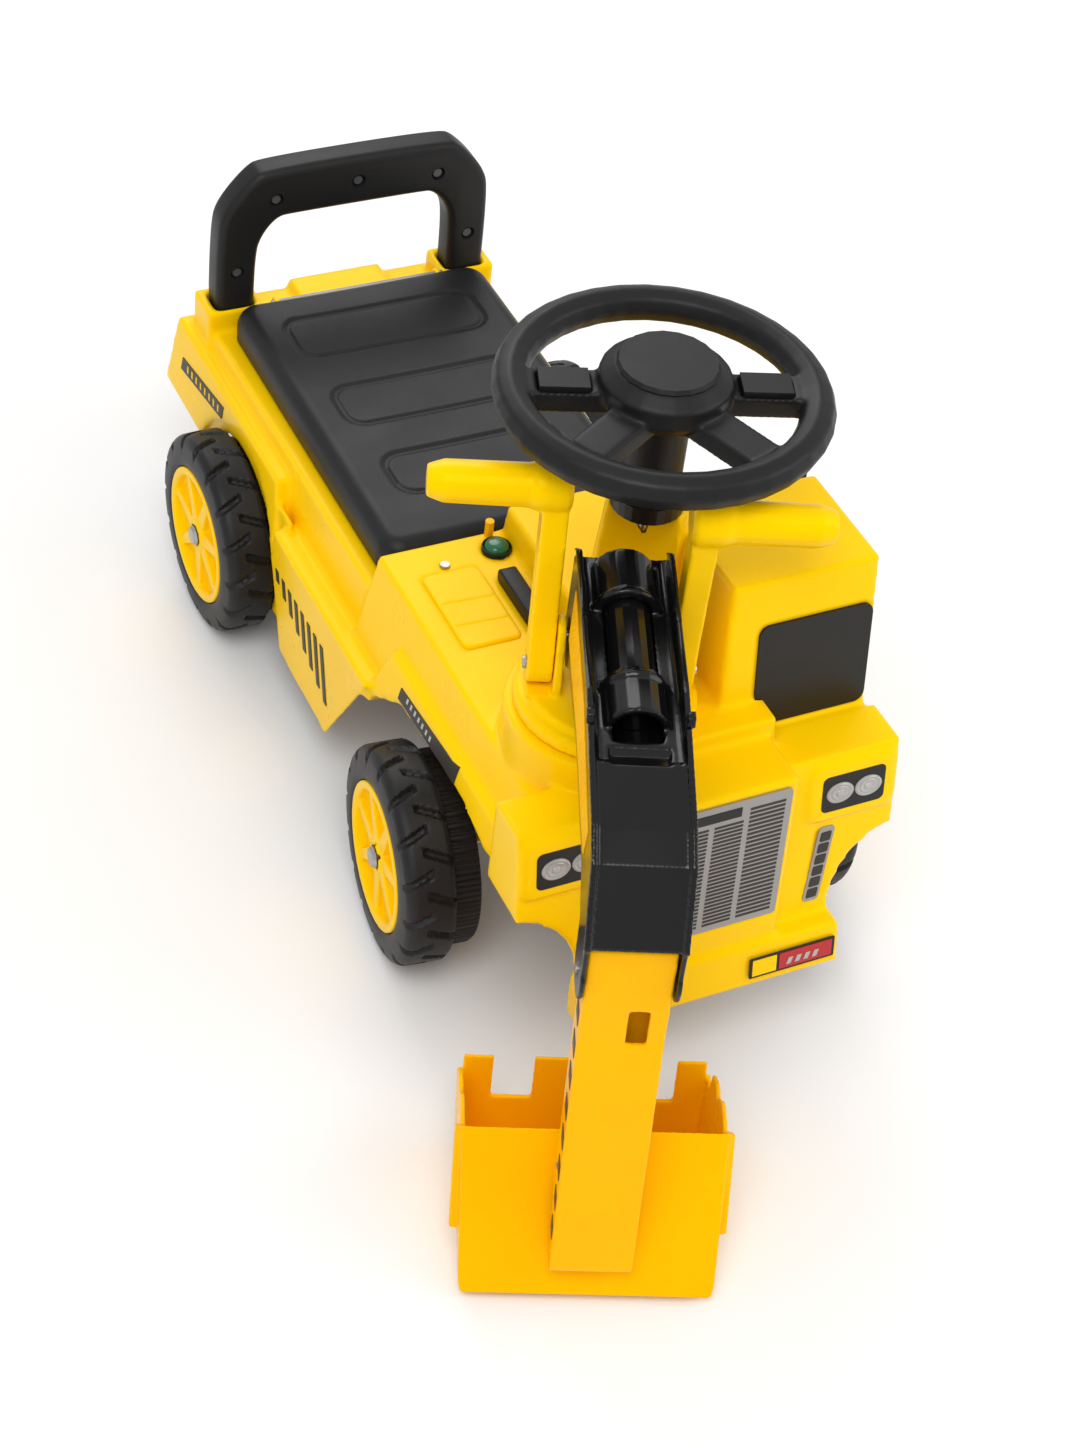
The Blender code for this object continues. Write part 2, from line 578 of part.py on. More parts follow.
# Wheels: each turns freely on its axle.
def wheel(name, parent, location, side):
    pivot = pivoted(f"{name}_pivot", parent, location)
    facing = along_x(side=side)
    low = WHEEL_INNER
    tyre = turned(f"{name}_tyre", [
        (AXLE_RADIUS + 0.0006, low), (0.0610, low), (DRUM_RADIUS, low + 0.0040),
        (DRUM_RADIUS, TREAD_INNER), (WHEEL_RADIUS, TREAD_INNER + 0.0020),
        (WHEEL_RADIUS, WHEEL_OUTER - 0.0085), (0.0695, WHEEL_OUTER - 0.0025), (0.0620, WHEEL_OUTER),
        (RIM_RADIUS + 0.0006, WHEEL_OUTER), (RIM_RADIUS + 0.0006, WHEEL_OUTER - 0.0090),
        (AXLE_RADIUS + 0.0006, WHEEL_OUTER - 0.0090)], 28)
    on_pivot_local(tyre, pivot, TYRE, facing)
    back = WHEEL_OUTER - 0.0086
    rim = turned("rim", [(AXLE_RADIUS + 0.0006, back), (RIM_RADIUS, back), (RIM_RADIUS, WHEEL_OUTER + 0.0004),
                         (0.0450, WHEEL_OUTER + 0.0004), (0.0425, back + 0.0020), (0.0130, back + 0.0020),
                         (0.0105, WHEEL_OUTER), (AXLE_RADIUS + 0.0006, WHEEL_OUTER)], 24)
    spokes = []
    for i in range(SPOKES):
        spoke = tapered("spoke", (0.0090, 0.0455, -0.0050, 0.0050), (0.0090, 0.0455, -0.0030, 0.0030),
                        back + 0.0010, back + 0.0062)
        spokes.append(placed(spoke, Matrix.Rotation(2 * pi * i / SPOKES, 4, "Z")))
    rim = union(rim, *spokes)
    rim.name = f"{name}_rim"
    on_pivot_local(rim, pivot, YELLOW, facing)
    cap = turned(f"{name}_axle_cap", [(0, WHEEL_OUTER + 0.0003), (0.0075, WHEEL_OUTER + 0.0003),
                                      (0.0060, WHEEL_OUTER + 0.0026), (0, WHEEL_OUTER + 0.0028)], 12)
    on_pivot_local(cap, pivot, STEEL, facing)


def on_pivot_local(obj, pivot, material, matrix):
    """Keeps a piece drawn about its own axis, turned into its pivot's frame."""
    obj.data.transform(matrix)
    keep(obj, material, pivot, smooth=True)


# Steering: wheel, shaft, bracket and front axle turn together.
def steering():
    pivot = pivoted("steering_pivot", car, (0, COLUMN_Y, 0))
    axle_y = -AXLE_LEAD
    turn = empty("front_axle_turn", (0, 0, WHEEL_RADIUS), pivot, TRACK_TURN)
    shaft = rod("steering_shaft", SHAFT_RADIUS, WHEEL_RADIUS + 0.0163, WHEEL_PLANE - 0.0115)
    keep(shaft, STEEL, pivot, smooth=True)
    bracket = block("front_axle_bracket", -0.0300, 0.0300, axle_y - 0.0120, 0.0120, -0.0140, 0.0160)
    hole = placed(rod("hole", AXLE_RADIUS + 0.0003, -0.1, 0.1), along_x(0, axle_y, 0))
    keep(cut(bracket, hole), PAN_BLACK, turn)
    keep(placed(rod("front_axle", AXLE_RADIUS, -0.1560, 0.1560), along_x(0, axle_y, 0)), STEEL, turn, smooth=True)
    for word, side in SIDES.items():
        wheel(f"front_{word}", turn, (0, axle_y, 0), side)
    hand = empty("hand_wheel_turn", (0, 0, WHEEL_PLANE), pivot, STEERING_TURN)
    steering_wheel(hand)


def steering_wheel(hand):
    ring = turned("ring", [(RING_RADIUS + RING_TUBE * cos(2 * pi * i / 8), RING_TUBE * sin(2 * pi * i / 8))
                           for i in range(8)], 36)
    hub = turned("hub", [(0, 0.0205), (0.0300, 0.0205), (0.0395, 0.0135), (0.0400, 0.0020), (0.0290, -0.0100),
                         (0.0185, -0.0160), (0.0185, -0.0660), (SHAFT_RADIUS + 0.0005, -0.0660),
                         (SHAFT_RADIUS + 0.0005, -0.0110), (0, -0.0110)][::-1], 24)
    spokes = mirrored(lambda side: block("spoke", side * 0.0250, side * 0.0860, -0.0125, 0.0125,
                                         -0.0070, 0.0070))
    for side in SIDES.values():
        wide = tapered("wide_spoke", (-0.0150, 0.0150, -0.0860, -0.0250), (-0.0120, 0.0120, -0.0860, -0.0250),
                       -0.0060, 0.0050)
        spokes.append(placed(wide, Matrix.Rotation(side * radians(40), 4, "Z")))
    wheel_body = union(hub, *spokes, ring)
    wells = mirrored(lambda side: block("well", side * 0.0440, side * 0.0745, -0.0100, 0.0100, 0.0010, 0.02))
    cut(wheel_body, *wells)
    wheel_body.name = "steering_wheel"
    keep(wheel_body, BLACK, hand, smooth=True)
    cap = turned("hub_cap", [(0, 0.0208), (0.0305, 0.0208), (0.0290, 0.0232), (0, 0.0232)], 20)
    keep(cap, BLACK, hand, smooth=True)
    for word, side in SIDES.items():
        pad = block(f"horn_pad_{word}", side * 0.0445, side * 0.0740, -0.0095, 0.0095, 0.0035, 0.0095)
        keep(pad, BLACK, hand)


# The arm's frame: s forward along the arm, e across it, z up.
def slab_e(name, outline, e0, e1):
    return loft(name, [[(s, e, z) for s, z in outline] for e in (e0, e1)])


def cross_rod(name, radius, e0, e1, s, z, count=12):
    return placed(rod(name, radius, e0, e1, count), Matrix.Translation((s, 0, z)) @ Matrix.Rotation(-pi / 2, 4, "X"))


def arc(s, z, radius, first, last, count):
    return [(s + radius * cos(radians(first + (last - first) * i / count)),
             z + radius * sin(radians(first + (last - first) * i / count))) for i in range(count + 1)]


def turntable():
    pivot = pivoted("turntable_pivot", arm_base, (0, 0, 0))
    low = PLATEAU_TOP + 0.0004
    disc = turned("turntable", [(0, 0.2050), (0.0090, 0.2050), (0.0090, low), (TABLE_RADIUS, low),
                                (TABLE_RADIUS, 0.2430), (0.0530, 0.2450), (0.0500, 0.2450), (0.0480, 0.2492),
                                (0, 0.2492)], 32)
    ear = [(-0.0170, 0.2480), (0.0170, 0.2480)] + arc(0, BOOM_PIVOT[1], 0.0120, 0, 180, 8)
    pieces = []
    for side in SIDES.values():
        pieces.append(slab_e("ear", ear, side * 0.0290, side * 0.0340))
        pieces.append(block("foot", -0.0165, 0.0165, side * 0.0335, side * 0.0495, 0.2480, 0.2498))
    union(disc, *pieces)
    cut(disc, cross_rod("hole", 0.0030, -0.1, 0.1, *BOOM_PIVOT), cross_rod("hole", 0.0022, -0.1, 0.1, *LEVER_PIVOT))
    keep(disc, YELLOW, pivot, smooth=True)
    keep(cross_rod("boom_pin", 0.0026, -0.0338, 0.0338, *BOOM_PIVOT), STEEL, pivot, smooth=True)
    at_pivot = Matrix.Translation((LEVER_PIVOT[0], 0, LEVER_PIVOT[1]))
    for word, side in SIDES.items():
        screw = turned(f"lever_screw_{word}", [(0, 0.0296), (0.0018, 0.0296), (0.0018, 0.0504), (0.0044, 0.0504),
                                               (0.0036, 0.0522), (0, 0.0522)], 10)
        placed(screw, at_pivot @ Matrix.Rotation(-side * pi / 2, 4, "X"))
        keep(screw, STEEL, pivot, smooth=True)


def lever(word, side):
    pivot = pivoted(f"lever_{word}_pivot", arm_base, (LEVER_PIVOT[0], 0, LEVER_PIVOT[1]))
    top = LEVER_LENGTH + GRIP_RADIUS
    outline = arc(0, 0, 0.0118, 180, 360, 8) + [(0.0100, 0.0300), (0.0105, top - 0.004), (0.0070, top),
                                                (-0.0070, top), (-0.0105, top - 0.004), (-0.0100, 0.0300)]
    arm = slab_e("arm", outline, side * LEVER_INNER, side * LEVER_OUTER)
    grip = turned("grip", [(0, 0.0360), (GRIP_RADIUS, 0.0360), (GRIP_RADIUS, 0.0560), (0.0132, 0.0580),
                           (0.0128, GRIP_END - 0.0100), (0.0095, GRIP_END), (0, GRIP_END)], 16)
    placed(grip, Matrix.Translation((0, 0, LEVER_LENGTH)) @ Matrix.Rotation(-side * pi / 2, 4, "X"))
    union(arm, grip)
    cut(arm, cross_rod("hole", 0.0022, -0.1, 0.1, 0, 0))
    placed(arm, Matrix.Rotation(LEVER_TILT[word], 4, "Y"))
    arm.name = f"lever_{word}"
    keep(arm, YELLOW, pivot, smooth=True)


def boom():
    pivot = pivoted("boom_pivot", arm_base, (BOOM_PIVOT[0], 0, BOOM_PIVOT[1]))
    end = arc(*STICK_PIVOT, 0.0170, 32, -180, 12)
    outline = [(-0.0140, 0.2760), (-0.0140, 0.3340), (-0.0040, 0.3460), (0.1120, 0.3440), (0.1980, 0.3270),
               (0.2175, 0.3170), (0.2375, 0.2720)] + end + [(0.2040, 0.2620), (0.1800, 0.2810), (0.1000, 0.2900),
                                                            (0.0300, 0.2840), (0.0120, 0.2700), (-0.0060, 0.2680)]
    shell = slab_e("boom", outline, -BOOM_HALF, BOOM_HALF)
    tray = slab_e("tray", [(-0.0300, 0.3340), (0.1560, 0.3340), (0.1760, 0.3500), (-0.0300, 0.3500)],
                  -0.0235, 0.0235)
    cut(shell, tray)
    sleeves = [placed(rod("sleeve", 0.0188, s0, s1, 20), along_x(z=RAM_Z))
               for s0, s1 in ((-0.0060, 0.0340), (0.0940, 0.1300))]
    union(shell, *sleeves)
    inside = BOOM_HALF - BOOM_WALL
    channel = slab_e("channel", [(-0.0112, 0.2000), (-0.0112, 0.3000), (0.0000, 0.3085), (0.2050, 0.3085),
                                 (0.2145, 0.3050), (0.2342, 0.2700), (0.2342, 0.2000)], -inside, inside)
    mouth = block("mouth", 0.2000, 0.2600, -inside, inside, 0.2000, 0.2715)
    bore = placed(rod("bore", 0.0146, -0.0200, 0.1400, 20), along_x(z=RAM_Z))
    cut(shell, channel, mouth, bore, cross_rod("hole", 0.0031, -0.1, 0.1, *BOOM_PIVOT),
        cross_rod("hole", 0.0028, -0.1, 0.1, *STICK_PIVOT))
    on_pivot(shell, pivot, GLOSS_BLACK)
    ram = placed(rod("ram_tube", 0.0140, 0.0020, 0.1120, 20), along_x(z=RAM_Z))
    on_pivot(ram, pivot, GLOSS_BLACK, smooth=True)
    on_pivot(cross_rod("stick_pin", 0.0024, -0.0290, 0.0290, *STICK_PIVOT), pivot, STEEL, smooth=True)


def stick():
    pivot = pivoted("stick_pivot", arm_base, (STICK_PIVOT[0], 0, STICK_PIVOT[1]))
    outline = [(0.2325, 0.2660), (0.2385, 0.2000), (0.2575, 0.1000), (0.2720, 0.0330), (0.2700, 0.0290),
               (0.2580, 0.0300), (0.2330, 0.0860), (0.2310, 0.1000), (0.2140, 0.2000),
               (0.2100, 0.2430), (0.2140, 0.2600), (0.2220, 0.2670)]
    beam = slab_e("stick", outline, -STICK_HALF, STICK_HALF)
    inside = STICK_HALF - BOOM_WALL
    channel = slab_e("channel", [(0.2293, 0.2620), (0.2355, 0.2000), (0.2545, 0.1000), (0.2670, 0.0430),
                                 (0.1900, 0.0430), (0.1900, 0.2620)], -inside, inside)
    window = block("window", 0.2200, 0.2600, 0.0025, 0.0140, 0.1970, 0.2220)
    cut(beam, channel, window, cross_rod("hole", 0.0028, -0.1, 0.1, *STICK_PIVOT),
        cross_rod("hole", 0.0023, -0.1, 0.1, *BUCKET_PIVOT))
    on_pivot(beam, pivot, ORANGE)
    on_pivot(cross_rod("bucket_pin", 0.0019, -0.0252, 0.0252, *BUCKET_PIVOT), pivot, STEEL, smooth=True)


def bucket_front(name, inset):
    """The bucket's outline seen from the front, narrower below and round at the bottom corners."""
    top = BUCKET_HALF - inset
    low = top - BUCKET_TAPER - BUCKET_CORNER
    corner = BUCKET_CORNER - inset
    floor = 0.0035 + BUCKET_CORNER
    half = [(top, 0.1000)]
    half += [(low + inset + corner * cos(radians(a)), floor - corner * sin(radians(a))) for a in (0, 30, 60, 90)]
    outline = half + [(-e, z) for e, z in reversed(half)]
    return loft(name, [[(s, e, z) for e, z in outline] for s in (0.1200, 0.3000)])


def bucket():
    pivot = pivoted("bucket_pivot", arm_base, (BUCKET_PIVOT[0], 0, BUCKET_PIVOT[1]))
    outer = [(0.2150, 0.0920), (0.2080, 0.0850), (0.2000, 0.0880), (0.1880, 0.0880), (0.1780, 0.0790),
             (0.1680, 0.0800), (0.1560, 0.0740), (0.1420, 0.0700), (0.1530, 0.0120), (0.1620, 0.0035),
             (0.2640, 0.0035), (0.2715, 0.0070)]
    shell = combine(slab_e("bucket", outer, -0.1, 0.1), [bucket_front("trim", 0.0)], "INTERSECT")
    hollow = slab_e("hollow", [(0.2085, 0.0990), (0.1500, 0.0990), (0.1450, 0.0700), (0.1558, 0.0132),
                               (0.1632, 0.0063), (0.2630, 0.0063), (0.2680, 0.0085), (0.2120, 0.0940)],
                    -0.1, 0.1)
    combine(hollow, [bucket_front("trim", BUCKET_WALL)], "INTERSECT")
    notches = mirrored(lambda side: block("notch", 0.1300, 0.1600, side * 0.0313, side * 0.0560, 0.0400, 0.0900))
    corners = mirrored(lambda side: block("corner", 0.1300, 0.1560, side * 0.0745, side * 0.1000, 0.0600, 0.0900))
    cut(shell, hollow, *notches, *corners)
    ear = [(0.2160, 0.0890), (0.2360, 0.1000), (0.2430, 0.1010), (0.2490, 0.0970), (0.2500, 0.0900),
           (0.2440, 0.0820), (0.2380, 0.0700), (0.2330, 0.0620)]
    ears = mirrored(lambda side: slab_e("ear", ear, side * 0.0170, side * 0.0208))
    flange = [(0.2140, 0.0900), (0.2440, 0.0330), (0.2380, 0.0310), (0.2075, 0.0850)]
    flanges = mirrored(lambda side: slab_e("flange", flange, side * (BUCKET_HALF - 0.0035), side * (BUCKET_HALF + 0.0030)))
    union(shell, *ears, *flanges)
    cut(shell, cross_rod("hole", 0.0023, -0.1, 0.1, *BUCKET_PIVOT))
    on_pivot(shell, pivot, ORANGE)


def sound_button():
    button = rod("sound_button", 0.0085, -0.0120, 0.0065, 20)
    pivot = pivoted("sound_button_pivot", car, (*BUTTON, DECK_TOP))
    keep(button, GREEN, pivot, smooth=True)


body_pieces()
seat()
push_handle()
for word, side in SIDES.items():
    wheel(f"rear_{word}", car, (0, WHEELBASE, WHEEL_RADIUS), side)
steering()
sound_button()
turntable()
for word, side in SIDES.items():
    lever(word, side)
boom()
stick()
bucket()
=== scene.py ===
# %% [markdown]
# # A ride-on toy digger, piece by piece
# The toy is a foot-to-floor car for a small child: a moulded yellow body, a black seat that lifts off a
# storage tray, a steering wheel, a push handle behind, and a digger arm in front worked by two levers.
# The solids already exist as a fixed frame with joints. This lesson builds the visible skin of every piece
# around that frame: softened mouldings, ribbed wheels, grooved seat, stickers and finishes.

import json
from math import atan2, cos, hypot, pi, radians, sin

import bmesh
import bpy
import numpy as np
from mathutils import Matrix, Vector

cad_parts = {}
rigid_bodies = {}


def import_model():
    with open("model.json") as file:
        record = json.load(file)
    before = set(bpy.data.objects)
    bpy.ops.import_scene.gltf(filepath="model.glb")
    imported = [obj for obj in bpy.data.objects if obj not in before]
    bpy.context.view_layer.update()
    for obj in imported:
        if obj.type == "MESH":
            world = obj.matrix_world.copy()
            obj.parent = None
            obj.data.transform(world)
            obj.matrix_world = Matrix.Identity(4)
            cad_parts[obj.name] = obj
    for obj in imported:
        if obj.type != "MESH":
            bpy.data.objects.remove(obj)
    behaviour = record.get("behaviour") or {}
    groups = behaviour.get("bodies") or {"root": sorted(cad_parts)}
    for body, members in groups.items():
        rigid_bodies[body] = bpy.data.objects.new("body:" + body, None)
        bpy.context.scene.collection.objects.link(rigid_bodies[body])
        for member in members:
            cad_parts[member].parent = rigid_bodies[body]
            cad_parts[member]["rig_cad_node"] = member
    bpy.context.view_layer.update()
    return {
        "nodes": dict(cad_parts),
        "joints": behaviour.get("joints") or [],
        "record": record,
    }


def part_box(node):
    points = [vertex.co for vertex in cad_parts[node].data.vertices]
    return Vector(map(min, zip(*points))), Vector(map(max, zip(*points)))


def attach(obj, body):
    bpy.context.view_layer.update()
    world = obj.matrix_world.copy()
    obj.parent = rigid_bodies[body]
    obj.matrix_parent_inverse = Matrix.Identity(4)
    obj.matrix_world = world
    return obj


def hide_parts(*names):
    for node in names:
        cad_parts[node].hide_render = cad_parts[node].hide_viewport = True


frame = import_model()
joints = {joint["name"]: joint for joint in frame["joints"]}

# %% [markdown]
# Two coordinate frames make the numbers readable. In the car's frame x runs across, y runs back from the
# front axle and z is height. In the arm's frame s runs forward along the digger arm and e runs across it.
# Both come from the joints, so a piece always lands where its joint is.

# %% The car's frame and the arm's frame
WHEEL_RADIUS = 0.0726
WHEELBASE = 0.3403
steer_at = Vector(joints["steering_turn"]["pos_m"])
rear_axle_at = Vector(joints["rear_left_roll"]["pos_m"])
CAR = Matrix.Translation((steer_at.x, rear_axle_at.y - WHEELBASE, 0.0))
across = -Vector(joints["boom_lift"]["axis"])
forward = across.cross(Vector((0, 0, 1)))
ARM = Matrix.Translation(Vector(joints["arm_swing"]["pos_m"]) * Vector((1, 1, 0)))
ARM = ARM @ Matrix((forward, across, (0, 0, 1))).transposed().to_4x4()
print("car origin", [round(v, 4) for v in CAR.translation], "arm points", [round(v, 3) for v in forward])

# %% [markdown]
# ## Finishes
# Every finish is a small node tree on a Principled shader. Moulded plastic is never one flat colour: the
# pigment streaks a little, the mould leaves a faint orange-peel, and handling polishes or dulls patches.
# Noise textures in object space give all three, because they need no unwrapping.

# %% A recipe for moulded plastic
def plastic(name, colour, rough, peel=0.02, grain=900.0, streak=0.06, patch=0.10, coat=0.0, soft=0.0,
            shine=0.5, tint=(1.0, 1.0, 1.0)):
    """A plastic with streaky pigment, a patchy gloss and a fine moulded texture."""
    made = bpy.data.materials.new(name)
    made.use_nodes = True
    tree = made.node_tree
    shader = tree.nodes["Principled BSDF"]
    place = tree.nodes.new("ShaderNodeTexCoord")

    def noise(scale, detail=3.0):
        node = tree.nodes.new("ShaderNodeTexNoise")
        node.inputs["Scale"].default_value = scale
        node.inputs["Detail"].default_value = detail
        tree.links.new(place.outputs["Object"], node.inputs["Vector"])
        return node.outputs["Fac"]

    ramp = tree.nodes.new("ShaderNodeValToRGB")
    ramp.color_ramp.elements[0].position = 0.30
    ramp.color_ramp.elements[1].position = 0.70
    dark = [c * (1 - streak) for c in colour]
    light = [min(1.0, c * (1 + streak) + streak * 0.004) for c in colour]
    ramp.color_ramp.elements[0].color = (*dark, 1)
    ramp.color_ramp.elements[1].color = (*light, 1)
    tree.links.new(noise(9.0, 5.0), ramp.inputs["Fac"])
    tree.links.new(ramp.outputs["Color"], shader.inputs["Base Color"])

    gloss = tree.nodes.new("ShaderNodeMapRange")
    gloss.inputs["To Min"].default_value = max(0.04, rough - patch)
    gloss.inputs["To Max"].default_value = min(1.0, rough + patch)
    tree.links.new(noise(24.0, 6.0), gloss.inputs["Value"])
    tree.links.new(gloss.outputs["Result"], shader.inputs["Roughness"])

    fine = tree.nodes.new("ShaderNodeBump")
    fine.inputs["Strength"].default_value = peel
    fine.inputs["Distance"].default_value = 0.0006
    tree.links.new(noise(grain, 2.0), fine.inputs["Height"])
    wavy = tree.nodes.new("ShaderNodeBump")
    wavy.inputs["Strength"].default_value = 0.10
    wavy.inputs["Distance"].default_value = 0.0008
    tree.links.new(noise(38.0, 2.0), wavy.inputs["Height"])
    tree.links.new(wavy.outputs["Normal"], fine.inputs["Normal"])
    tree.links.new(fine.outputs["Normal"], shader.inputs["Normal"])
    shader.inputs["Specular IOR Level"].default_value = shine
    shader.inputs["Specular Tint"].default_value = (*tint, 1.0)
    shader.inputs["Coat Weight"].default_value = coat
    shader.inputs["Coat Roughness"].default_value = 0.12
    shader.inputs["Subsurface Weight"].default_value = soft
    shader.inputs["Subsurface Radius"].default_value = (0.010, 0.004, 0.001)
    return made


GOLD = (1.0, 0.70, 0.05)
YELLOW = plastic("yellow_moulding", (1.0, 0.60, 0.0004), 0.30, streak=0.03, soft=0.04, shine=0.30, tint=GOLD)
AMBER = plastic("amber_moulding", (1.0, 0.475, 0.0004), 0.28, streak=0.04, soft=0.08, shine=0.30, tint=GOLD)
RIM = plastic("rim_moulding", (1.0, 0.60, 0.0006), 0.34, streak=0.03, soft=0.04, shine=0.25, tint=GOLD)
SATIN = plastic("satin_black", (0.009, 0.009, 0.0095), 0.42, peel=0.16, grain=1500, streak=0.10, shine=0.24)
LEATHERY = plastic("seat_black", (0.013, 0.013, 0.0135), 0.40, peel=0.18, grain=1100, streak=0.12, shine=0.22)
GLOSSY = plastic("glossy_black", (0.004, 0.004, 0.0045), 0.16, streak=0.15, patch=0.08, shine=0.34)
TYRE = plastic("tyre_black", (0.010, 0.010, 0.011), 0.46, peel=0.20, grain=1200, streak=0.18, shine=0.28)
UNDER = plastic("under_black", (0.010, 0.010, 0.011), 0.58, peel=0.25, grain=700, streak=0.15, shine=0.3)
PANEL = plastic("sticker_black", (0.013, 0.011, 0.009), 0.34, streak=0.12, patch=0.08, shine=0.26)
SILVER = plastic("sticker_silver", (0.30, 0.285, 0.27), 0.34, streak=0.06, shine=0.4)
INK = plastic("sticker_ink", (0.040, 0.034, 0.028), 0.38, streak=0.10, shine=0.2)
GREEN = plastic("button_green", (0.003, 0.13, 0.05), 0.22, streak=0.10, coat=0.3)
RED = plastic("sticker_red", (0.45, 0.02, 0.02), 0.30, streak=0.08, shine=0.3)
PALE = plastic("lamp_pale", (0.36, 0.35, 0.33), 0.18, streak=0.25, coat=0.4)
STEEL = plastic("brushed_steel", (0.42, 0.41, 0.40), 0.34, peel=0.12, grain=600, streak=0.10)
STEEL.node_tree.nodes["Principled BSDF"].inputs["Metallic"].default_value = 1.0
print("finishes:", len([m for m in bpy.data.materials if m.use_nodes]))

# %% [markdown]
# ## Tools for shapes
# Most pieces are hollow mouldings whose every edge is softened by the mould. Beveling a shape that came out
# of many Boolean cuts breaks easily. Remeshing it into small even cells and relaxing them rounds all edges
# at once, inside and outside, so that is the way used for the mouldings. Turned and gridded pieces are
# computed point by point instead, because their ribs and grooves are finer than any cell.

# %% Placing a piece
def put(obj, material, body, slot, *nodes, smooth=True):
    """Gives a piece its finish, lets it ride its body, and hides the solids that it stands for."""
    obj.data.materials.clear()
    obj.data.materials.append(material)
    if smooth:
        obj.data.shade_smooth()
        obj.data.set_sharp_from_angle(angle=radians(40))
    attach(obj, body)
    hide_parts(*nodes)
    return obj


def mesh_piece(name, verts, faces, place=CAR):
    data = bpy.data.meshes.new(name)
    data.from_pydata([tuple(place @ Vector(v)) for v in verts], [], faces)
    data.validate()
    obj = bpy.data.objects.new(name, data)
    bpy.context.scene.collection.objects.link(obj)
    return obj


def outward(obj):
    """Turns every face outwards and welds doubled points."""
    work = bmesh.new()
    work.from_mesh(obj.data)
    bmesh.ops.remove_doubles(work, verts=work.verts, dist=0.00001)
    bmesh.ops.recalc_face_normals(work, faces=work.faces)
    work.to_mesh(obj.data)
    work.free()
    return obj


# %% Prisms, turned shapes and joined shapes
def prism(name, outline, low, high, place=CAR, axis="z"):
    """An outline of (a, b) pushed out along x, z or y; the arm's frame calls its y axis e."""
    order = {
        "x": lambda a, b, t: (t, a, b),
        "y": lambda a, b, t: (a, t, b),
        "e": lambda a, b, t: (a, t, b),
        "z": lambda a, b, t: (a, b, t),
    }[axis]
    n = len(outline)
    verts = [order(a, b, t) for t in (low, high) for a, b in outline]
    faces = [list(range(n))[::-1], list(range(n, 2 * n))]
    faces += [[i, (i + 1) % n, n + (i + 1) % n, n + i] for i in range(n)]
    return outward(mesh_piece(name, verts, faces, place))


def turned(name, profile, place, count=64, loop=False):
    """A profile of (radius, height) turned about the z axis of its place; a loop closes on itself."""
    profile = profile + profile[:1] if loop else profile
    verts, faces = [], []
    for radius, height in profile:
        turns = [2 * pi * k / count for k in range(count)]
        verts += [(radius * cos(turn), radius * sin(turn), height) for turn in turns]
    for i in range(len(profile) - 1):
        for k in range(count):
            j = (k + 1) % count
            faces.append([i * count + k, i * count + j, (i + 1) * count + j, (i + 1) * count + k])
    obj = mesh_piece(name, verts, faces, place)
    return outward(obj)


def merged(name, *objs):
    """Copies several meshes into one new object; the first keeps nothing of its own."""
    work = bmesh.new()
    for obj in objs:
        work.from_mesh(obj.data)
    data = bpy.data.meshes.new(name)
    work.to_mesh(data)
    work.free()
    made = bpy.data.objects.new(name, data)
    bpy.context.scene.collection.objects.link(made)
    for obj in objs:
        if "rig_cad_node" not in obj:
            bpy.data.objects.remove(obj)
    return made


def applied(obj):
    """Replaces the mesh by what its modifiers make of it."""
    graph = bpy.context.evaluated_depsgraph_get()
    obj.data = bpy.data.meshes.new_from_object(obj.evaluated_get(graph))
    obj.modifiers.clear()
    return obj


def softened(obj, cell, passes):
    """Remeshes into cells of one size and relaxes them, which rounds every edge."""
    remesh = obj.modifiers.new("cells", "REMESH")
    remesh.mode = "VOXEL"
    remesh.voxel_size = cell
    relax = obj.modifiers.new("relax", "SMOOTH")
    relax.factor = 0.5
    relax.iterations = passes
    return applied(obj)


def bevelled(obj, width, segments=3, angle=30):
    bevel = obj.modifiers.new("edge", "BEVEL")
    bevel.width = width
    bevel.segments = segments
    bevel.limit_method = "ANGLE"
    bevel.angle_limit = radians(angle)
    return applied(obj)


def carved(obj, *tools):
    """Cuts the tools out of the piece, then removes them."""
    for tool in tools:
        cutter = obj.modifiers.new("cut", "BOOLEAN")
        cutter.operation = "DIFFERENCE"
        cutter.object = tool
        applied(obj)
        bpy.data.objects.remove(tool)
    return obj


def moulded(name, node, cell, passes, material, body, slot, *extras, cutters=()):
    """The skin of one solid, softened, with extra shapes melted into it and others cut out first."""
    made = carved(merged(name, frame["nodes"][node]), *cutters)
    made = softened(merged(name, made, *extras), cell, passes)
    print(name, len(made.data.polygons), "faces")
    return put(made, material, body, slot, node)


def rounded(outline, rounds=2, keep=0.25):
    """Cuts every corner of a closed outline, twice or more, until it runs in a curve."""
    for _ in range(rounds):
        cut = []
        for i, (a, b) in enumerate(outline):
            c, d = outline[(i + 1) % len(outline)]
            cut += [(a + (c - a) * keep, b + (d - b) * keep), (c + (a - c) * keep, d + (b - d) * keep)]
        outline = cut
    return outline


def corner_arcs(a0, a1, b0, b1, radius, steps=5):
    """A rectangle with round corners."""
    left, right, low, high = a0 + radius, a1 - radius, b0 + radius, b1 - radius
    points = []
    for quarter, (a, b) in enumerate([(right, high), (left, high), (left, low), (right, low)]):
        for k in range(steps + 1):
            angle = pi / 2 * (quarter + k / steps)
            points.append((a + radius * cos(angle), b + radius * sin(angle)))
    return points


